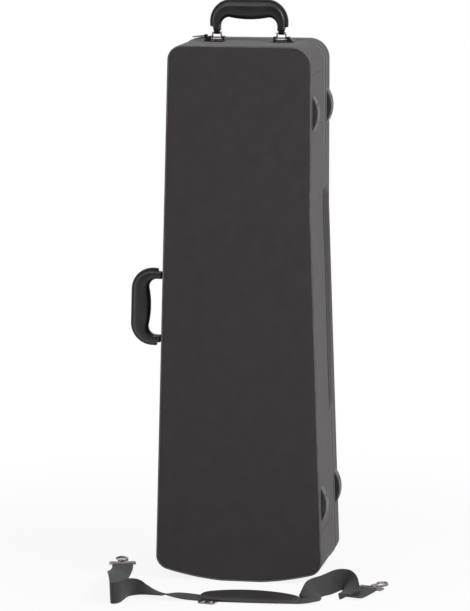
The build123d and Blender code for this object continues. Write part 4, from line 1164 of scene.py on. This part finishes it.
# Rivets, strap rings and screws
# Domed black rivets hold the brackets; two riveted tabs on the handle side carry the steel
# rings for the strap. The screws of the feet are blackened steel.
dress(black_metal, "case_rivets", "ring_tabs", "base_foot_screws", "lid_foot_screws")
dress(bright_steel, "strap_ring_upper", "strap_ring_lower", "accessory_lid_pin")
dress(metal_material("plate_steel", (0.25, 0.25, 0.25), (0.45, 0.44, 0.43), 0.45), "handle_backing_plates")


# Feet
# Half-moon bumpers moulded in black plastic with a fine spark-eroded grain, each held by two
# screws in wells.
def plastic_material():
    """Moulded black plastic: an even fine grain, and scuffs that lighten it."""
    material, tree, shader = new_material("foot_plastic")
    coordinates = tree.nodes.new("ShaderNodeTexCoord")
    grain = tree.nodes.new("ShaderNodeTexNoise")
    grain.inputs["Scale"].default_value = 1400.0
    grain.inputs["Detail"].default_value = 2.0
    scuff = tree.nodes.new("ShaderNodeTexNoise")
    scuff.inputs["Scale"].default_value = 90.0
    scuff.inputs["Detail"].default_value = 8.0
    scuff.inputs["Roughness"].default_value = 0.7
    for noise in (grain, scuff):
        tree.links.new(coordinates.outputs["Object"], noise.inputs["Vector"])
    ramp = tree.nodes.new("ShaderNodeValToRGB")
    ramp.color_ramp.elements[0].position = 0.4
    ramp.color_ramp.elements[0].color = (0.020, 0.019, 0.0195, 1)
    ramp.color_ramp.elements[1].position = 0.8
    ramp.color_ramp.elements[1].color = (0.055, 0.052, 0.052, 1)
    tree.links.new(scuff.outputs["Fac"], ramp.inputs["Fac"])
    tree.links.new(ramp.outputs["Color"], shader.inputs["Base Color"])
    bump = tree.nodes.new("ShaderNodeBump")
    bump.inputs["Strength"].default_value = 0.2
    bump.inputs["Distance"].default_value = 0.0001
    tree.links.new(grain.outputs["Fac"], bump.inputs["Height"])
    tree.links.new(bump.outputs["Normal"], shader.inputs["Normal"])
    shader.inputs["Roughness"].default_value = 0.42
    return material


dress(plastic_material(), "base_foot_top", "base_foot_bottom", "lid_foot_top", "lid_foot_bottom")


# Zip sliders and pulls
# Die-cast sliders painted black, with flat pulls that hang from a pin between two lugs.
dress(black_metal, "zip_slider_top", "zip_slider_side", "zip_pull_top", "zip_pull_side")


# Plywood
# Birch plywood: the front board, the wall frame of the base and the shell of
# the lid, seen only at their edges when the case is open.
def plywood_material():
    """Pale birch with its grain drawn out along the height."""
    material, tree, shader = new_material("plywood")
    coordinates = tree.nodes.new("ShaderNodeTexCoord")
    mapping = tree.nodes.new("ShaderNodeMapping")
    mapping.inputs["Scale"].default_value = (160.0, 160.0, 9.0)
    grain = tree.nodes.new("ShaderNodeTexNoise")
    grain.inputs["Scale"].default_value = 1.0
    grain.inputs["Detail"].default_value = 5.0
    tree.links.new(coordinates.outputs["Object"], mapping.inputs["Vector"])
    tree.links.new(mapping.outputs["Vector"], grain.inputs["Vector"])
    ramp = tree.nodes.new("ShaderNodeValToRGB")
    ramp.color_ramp.elements[0].color = (0.34, 0.21, 0.11, 1)
    ramp.color_ramp.elements[1].color = (0.56, 0.40, 0.24, 1)
    tree.links.new(grain.outputs["Fac"], ramp.inputs["Fac"])
    tree.links.new(ramp.outputs["Color"], shader.inputs["Base Color"])
    shader.inputs["Roughness"].default_value = 0.7
    return material


dress(plywood_material(), "front_board", "base_wall_frame", "lid_shell")


# Linings
# Short black plush glued over thin foam in the base tray and in the lid. It turns over the
# edge of the plywood and rounds off where the walls meet the floor.
BASE_FLOOR_Y = -0.0984
BASE_BACK_Y = -0.1053
BASE_LIP_Y = 0.0456
LID_LIP_Y = 0.0545
LID_FLOOR_Y = 0.0986
LID_LINING_BACK_Y = 0.1055
WALL_OUT = 0.0085
WALL_IN = 0.0154
LIP_REACH = 0.0034
FLOOR_ROUND = 0.009


def plush_material():
    """Short pile: matt black with a strong soft sheen and a nap that shades it in patches."""
    material, tree, shader = new_material("plush")
    coordinates = tree.nodes.new("ShaderNodeTexCoord")
    pile = tree.nodes.new("ShaderNodeTexNoise")
    pile.inputs["Scale"].default_value = 1500.0
    pile.inputs["Detail"].default_value = 3.0
    nap = tree.nodes.new("ShaderNodeTexNoise")
    nap.inputs["Scale"].default_value = 26.0
    nap.inputs["Detail"].default_value = 6.0
    for noise in (pile, nap):
        tree.links.new(coordinates.outputs["Object"], noise.inputs["Vector"])
    ramp = tree.nodes.new("ShaderNodeValToRGB")
    ramp.color_ramp.elements[0].position = 0.3
    ramp.color_ramp.elements[0].color = (0.012, 0.012, 0.014, 1)
    ramp.color_ramp.elements[1].position = 0.7
    ramp.color_ramp.elements[1].color = (0.036, 0.035, 0.039, 1)
    tree.links.new(nap.outputs["Fac"], ramp.inputs["Fac"])
    tree.links.new(ramp.outputs["Color"], shader.inputs["Base Color"])
    bump = tree.nodes.new("ShaderNodeBump")
    bump.inputs["Strength"].default_value = 0.7
    bump.inputs["Distance"].default_value = 0.0005
    tree.links.new(pile.outputs["Fac"], bump.inputs["Height"])
    tree.links.new(bump.outputs["Normal"], shader.inputs["Normal"])
    shader.inputs["Roughness"].default_value = 0.95
    shader.inputs["Sheen Weight"].default_value = 0.55
    shader.inputs["Sheen Roughness"].default_value = 0.4
    return material


def lining_mesh(name, floor_y, back_y, rim_y, lip_y, lift=0.0):
    """A lined tray: from its floor it rounds into the walls, goes up them to a half-round lip
    over the plywood edge, and back down outside to the floor's underside."""
    way = 1.0 if rim_y > floor_y else -1.0
    turn = np.linspace(0, np.pi / 2, 8)
    corner_n = -WALL_IN - FLOOR_ROUND * (1 - np.sin(turn))
    corner_y = floor_y + way * FLOOR_ROUND * (1 - np.cos(turn))
    lip_half = (WALL_IN - LIP_REACH) / 2
    over = np.linspace(0, np.pi, 14)
    lip_n = -(WALL_IN + LIP_REACH) / 2 - lip_half * np.cos(over)
    lip_rise = lip_y - way * 0.0045
    lip = lip_rise + way * 0.0045 * np.sin(over) ** 0.6
    profile = [(n, y) for n, y in zip(corner_n, corner_y)]
    profile += [(-WALL_IN, y) for y in np.linspace(corner_y[-1], lip_rise, 16)[1:-1]]
    profile += [(n, y) for n, y in zip(lip_n, lip)]
    profile += [(-LIP_REACH, rim_y + way * 0.0003), (-WALL_OUT, rim_y + way * 0.0003)]
    profile += [(-WALL_OUT, y) for y in np.linspace(rim_y, back_y, 8)]
    profile = np.array(profile)
    ring = outline_points[:, None] + outline_out[:, None] * profile[None, :, 0, None]
    first, last = ring[:, 0], ring[:, -1]
    q = np.linspace(1, 0, 16)[None, :-1, None]
    floor_flat = first[:, None] * (1 - q) + spine_below(first)[:, None] * q
    q = np.linspace(0, 1, 4)[None, 1:, None]
    back_flat = last[:, None] * (1 - q) + spine_below(last)[:, None] * q
    every = np.concatenate([floor_flat, ring, back_flat], axis=1)
    floor_depth = np.full(floor_flat.shape[1], floor_y)
    depth = np.concatenate([floor_depth, profile[:, 1], np.full(back_flat.shape[1], back_y)])
    z = np.maximum(every[..., 1], lift)
    grid = np.stack([every[..., 0], np.broadcast_to(depth, z.shape), z], axis=-1)
    inside = np.arange(grid.shape[1]) < floor_flat.shape[1]
    grid[..., 1] += way * 0.0003 * ripple(grid[..., 0] * 1.5, grid[..., 2] * 1.5) * inside
    return welded(grid_piece(name, grid, close_rows=True), smooth=60.0)


plush = plush_material()
base_lining = lining_mesh("base_plush", BASE_FLOOR_Y, BASE_BACK_Y, 0.044, BASE_LIP_Y)
finished(base_lining, plush, "base")
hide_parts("base_lining")
lid_lining = lining_mesh("lid_plush", LID_FLOOR_Y, LID_LINING_BACK_Y, 0.056, LID_LIP_Y, lift=0.0065)
finished(lid_lining, plush, "lid")
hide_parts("lid_lining")


# Cradles, box and mouthpiece block
# Foam blocks cut to the instrument and covered with the same plush, so every edge is soft.
# The accessory box and its lid are thin board under the same cover.
def soft_copy(node, name, body, width, material):
    """A copy of a made block with its doubled points merged and its edges rounded to a width."""
    mesh = nodes[node].data.copy()
    piece = bpy.data.objects.new(name, mesh)
    bpy.context.scene.collection.objects.link(piece)
    build = bmesh.new()
    build.from_mesh(mesh)
    bmesh.ops.remove_doubles(build, verts=build.verts, dist=0.00001)
    bmesh.ops.dissolve_limit(build, angle_limit=math.radians(1.0), verts=build.verts, edges=build.edges)
    build.to_mesh(mesh)
    build.free()
    bevel = piece.modifiers.new("rounded", "BEVEL")
    bevel.width = width
    bevel.segments = 4
    bevel.limit_method = "ANGLE"
    bevel.angle_limit = math.radians(50)
    mesh.shade_smooth()
    mesh.set_sharp_from_angle(angle=math.radians(60))
    finished(piece, material, body)
    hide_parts(node)
    return piece


for node, width in (("bell_cradle", 0.004), ("valve_cradle", 0.004), ("tube_rest", 0.004),
                    ("mouthpiece_block", 0.0025), ("accessory_box", 0.0012)):
    soft_copy(node, node + "_plush", "base", width, plush)
soft_copy("accessory_lid", "accessory_lid_plush", "compartment_lid", 0.0009, plush)


# Floor, backdrop and lamps
# A white sweep under and behind the case, a soft white room and two large soft lamps: one
# high on the feet side and one in front.
FLOOR_WHITE = (0.88, 1.0)
RANGE_SOCKETS = ("From Min", "From Max", "To Min", "To Max")
FLOOR_FADE = (0.4, 1.3)
ROOM_LIGHT = 0.55
FRONT_DARK = (0.62, 0.93)
FRONT_LIGHT = 0.12


def node(tree, kind, **settings):
    """A new node with its settings."""
    made = tree.nodes.new(kind)
    for name, value in settings.items():
        setattr(made, name, value)
    return made


def seen_directly(tree):
    """1 for a ray from the camera, or one that gloss or glass sends on, and otherwise 0."""
    path = tree.nodes.new("ShaderNodeLightPath")
    seen = path.outputs["Is Camera Ray"]
    for other in ("Is Glossy Ray", "Is Transmission Ray"):
        both = node(tree, "ShaderNodeMath", operation="MAXIMUM")
        tree.links.new(seen, both.inputs[0])
        tree.links.new(path.outputs[other], both.inputs[1])
        seen = both.outputs[0]
    return seen


def stage_material(name):
    """White paper that takes the shadow close to the case and goes over to plain white away from
    it, for the camera and in gloss."""
    material, tree, shader = new_material(name)
    shader.inputs["Base Color"].default_value = (0.93, 0.93, 0.93, 1)
    shader.inputs["Roughness"].default_value = 0.9
    white = tree.nodes.new("ShaderNodeEmission")
    coordinates = tree.nodes.new("ShaderNodeTexCoord")
    distance = node(tree, "ShaderNodeVectorMath", operation="LENGTH")
    tree.links.new(coordinates.outputs["Object"], distance.inputs[0])
    fade = node(tree, "ShaderNodeMapRange", interpolation_type="SMOOTHSTEP")
    for socket, value in zip(RANGE_SOCKETS, FLOOR_FADE + FLOOR_WHITE):
        fade.inputs[socket].default_value = value
    tree.links.new(distance.outputs["Value"], fade.inputs["Value"])
    share = node(tree, "ShaderNodeMath", operation="MULTIPLY")
    tree.links.new(fade.outputs["Result"], share.inputs[0])
    tree.links.new(seen_directly(tree), share.inputs[1])
    mix = tree.nodes.new("ShaderNodeMixShader")
    tree.links.new(share.outputs[0], mix.inputs["Fac"])
    tree.links.new(shader.outputs["BSDF"], mix.inputs[1])
    tree.links.new(white.outputs["Emission"], mix.inputs[2])
    tree.links.new(mix.outputs["Shader"], tree.nodes["Material Output"].inputs["Surface"])
    return material


paper = stage_material("white_paper")
mesh = bpy.data.meshes.new("floor")
mesh.from_pydata([(-6, -8, 0), (6, -8, 0), (6, 8, 0), (-6, 8, 0)], [], [(0, 1, 2, 3)])
floor = bpy.data.objects.new("floor", mesh)
bpy.context.scene.collection.objects.link(floor)
mesh.materials.append(paper)


def studio_world():
    """A white room: plain white to the camera; in gloss white all round but for a dark wall in
    front, where the light falls off too; and a soft even light on everything else."""
    world = bpy.data.worlds.new("white_room")
    world.use_nodes = True
    tree = world.node_tree
    sky = tree.nodes["Background"]
    sky.inputs["Color"].default_value = (1, 1, 1, 1)
    split = tree.nodes.new("ShaderNodeSeparateXYZ")
    tree.links.new(tree.nodes.new("ShaderNodeTexCoord").outputs["Generated"], split.inputs[0])
    forward = node(tree, "ShaderNodeMath", operation="MULTIPLY")
    forward.inputs[1].default_value = -1.0
    tree.links.new(split.outputs["Y"], forward.inputs[0])
    wall = node(tree, "ShaderNodeMapRange", interpolation_type="SMOOTHSTEP")
    for socket, value in zip(RANGE_SOCKETS, FRONT_DARK + (1.0, FRONT_LIGHT)):
        wall.inputs[socket].default_value = value
    tree.links.new(forward.outputs[0], wall.inputs["Value"])
    path = tree.nodes.new("ShaderNodeLightPath")
    level = tree.nodes.new("ShaderNodeMapRange")
    level.inputs["To Min"].default_value = ROOM_LIGHT
    tree.links.new(seen_directly(tree), level.inputs["Value"])
    shaded = node(tree, "ShaderNodeMath", operation="MULTIPLY")
    tree.links.new(level.outputs["Result"], shaded.inputs[0])
    tree.links.new(wall.outputs["Result"], shaded.inputs[1])
    strength = node(tree, "ShaderNodeMath", operation="MAXIMUM")
    tree.links.new(shaded.outputs[0], strength.inputs[0])
    tree.links.new(path.outputs["Is Camera Ray"], strength.inputs[1])
    tree.links.new(strength.outputs[0], sky.inputs["Strength"])
    return world


bpy.context.scene.world = studio_world()


def lamp(name, place, aim, size, power):
    """A square soft lamp that faces a point."""
    light = bpy.data.lights.new(name, "AREA")
    light.size = size
    light.energy = power
    holder = bpy.data.objects.new(name, light)
    bpy.context.scene.collection.objects.link(holder)
    holder.location = place
    holder.rotation_euler = (Vector(aim) - Vector(place)).to_track_quat("-Z", "Y").to_euler()


lamp("feet_side_lamp", (1.9, -0.9, 1.9), (0.0, 0.0, 0.6), 1.1, 30.0)
lamp("front_lamp", (-0.7, -2.2, 2.6), (0.0, 0.0, 0.8), 1.4, 14.0)

scene = bpy.context.scene
scene.view_settings.view_transform = "Standard"
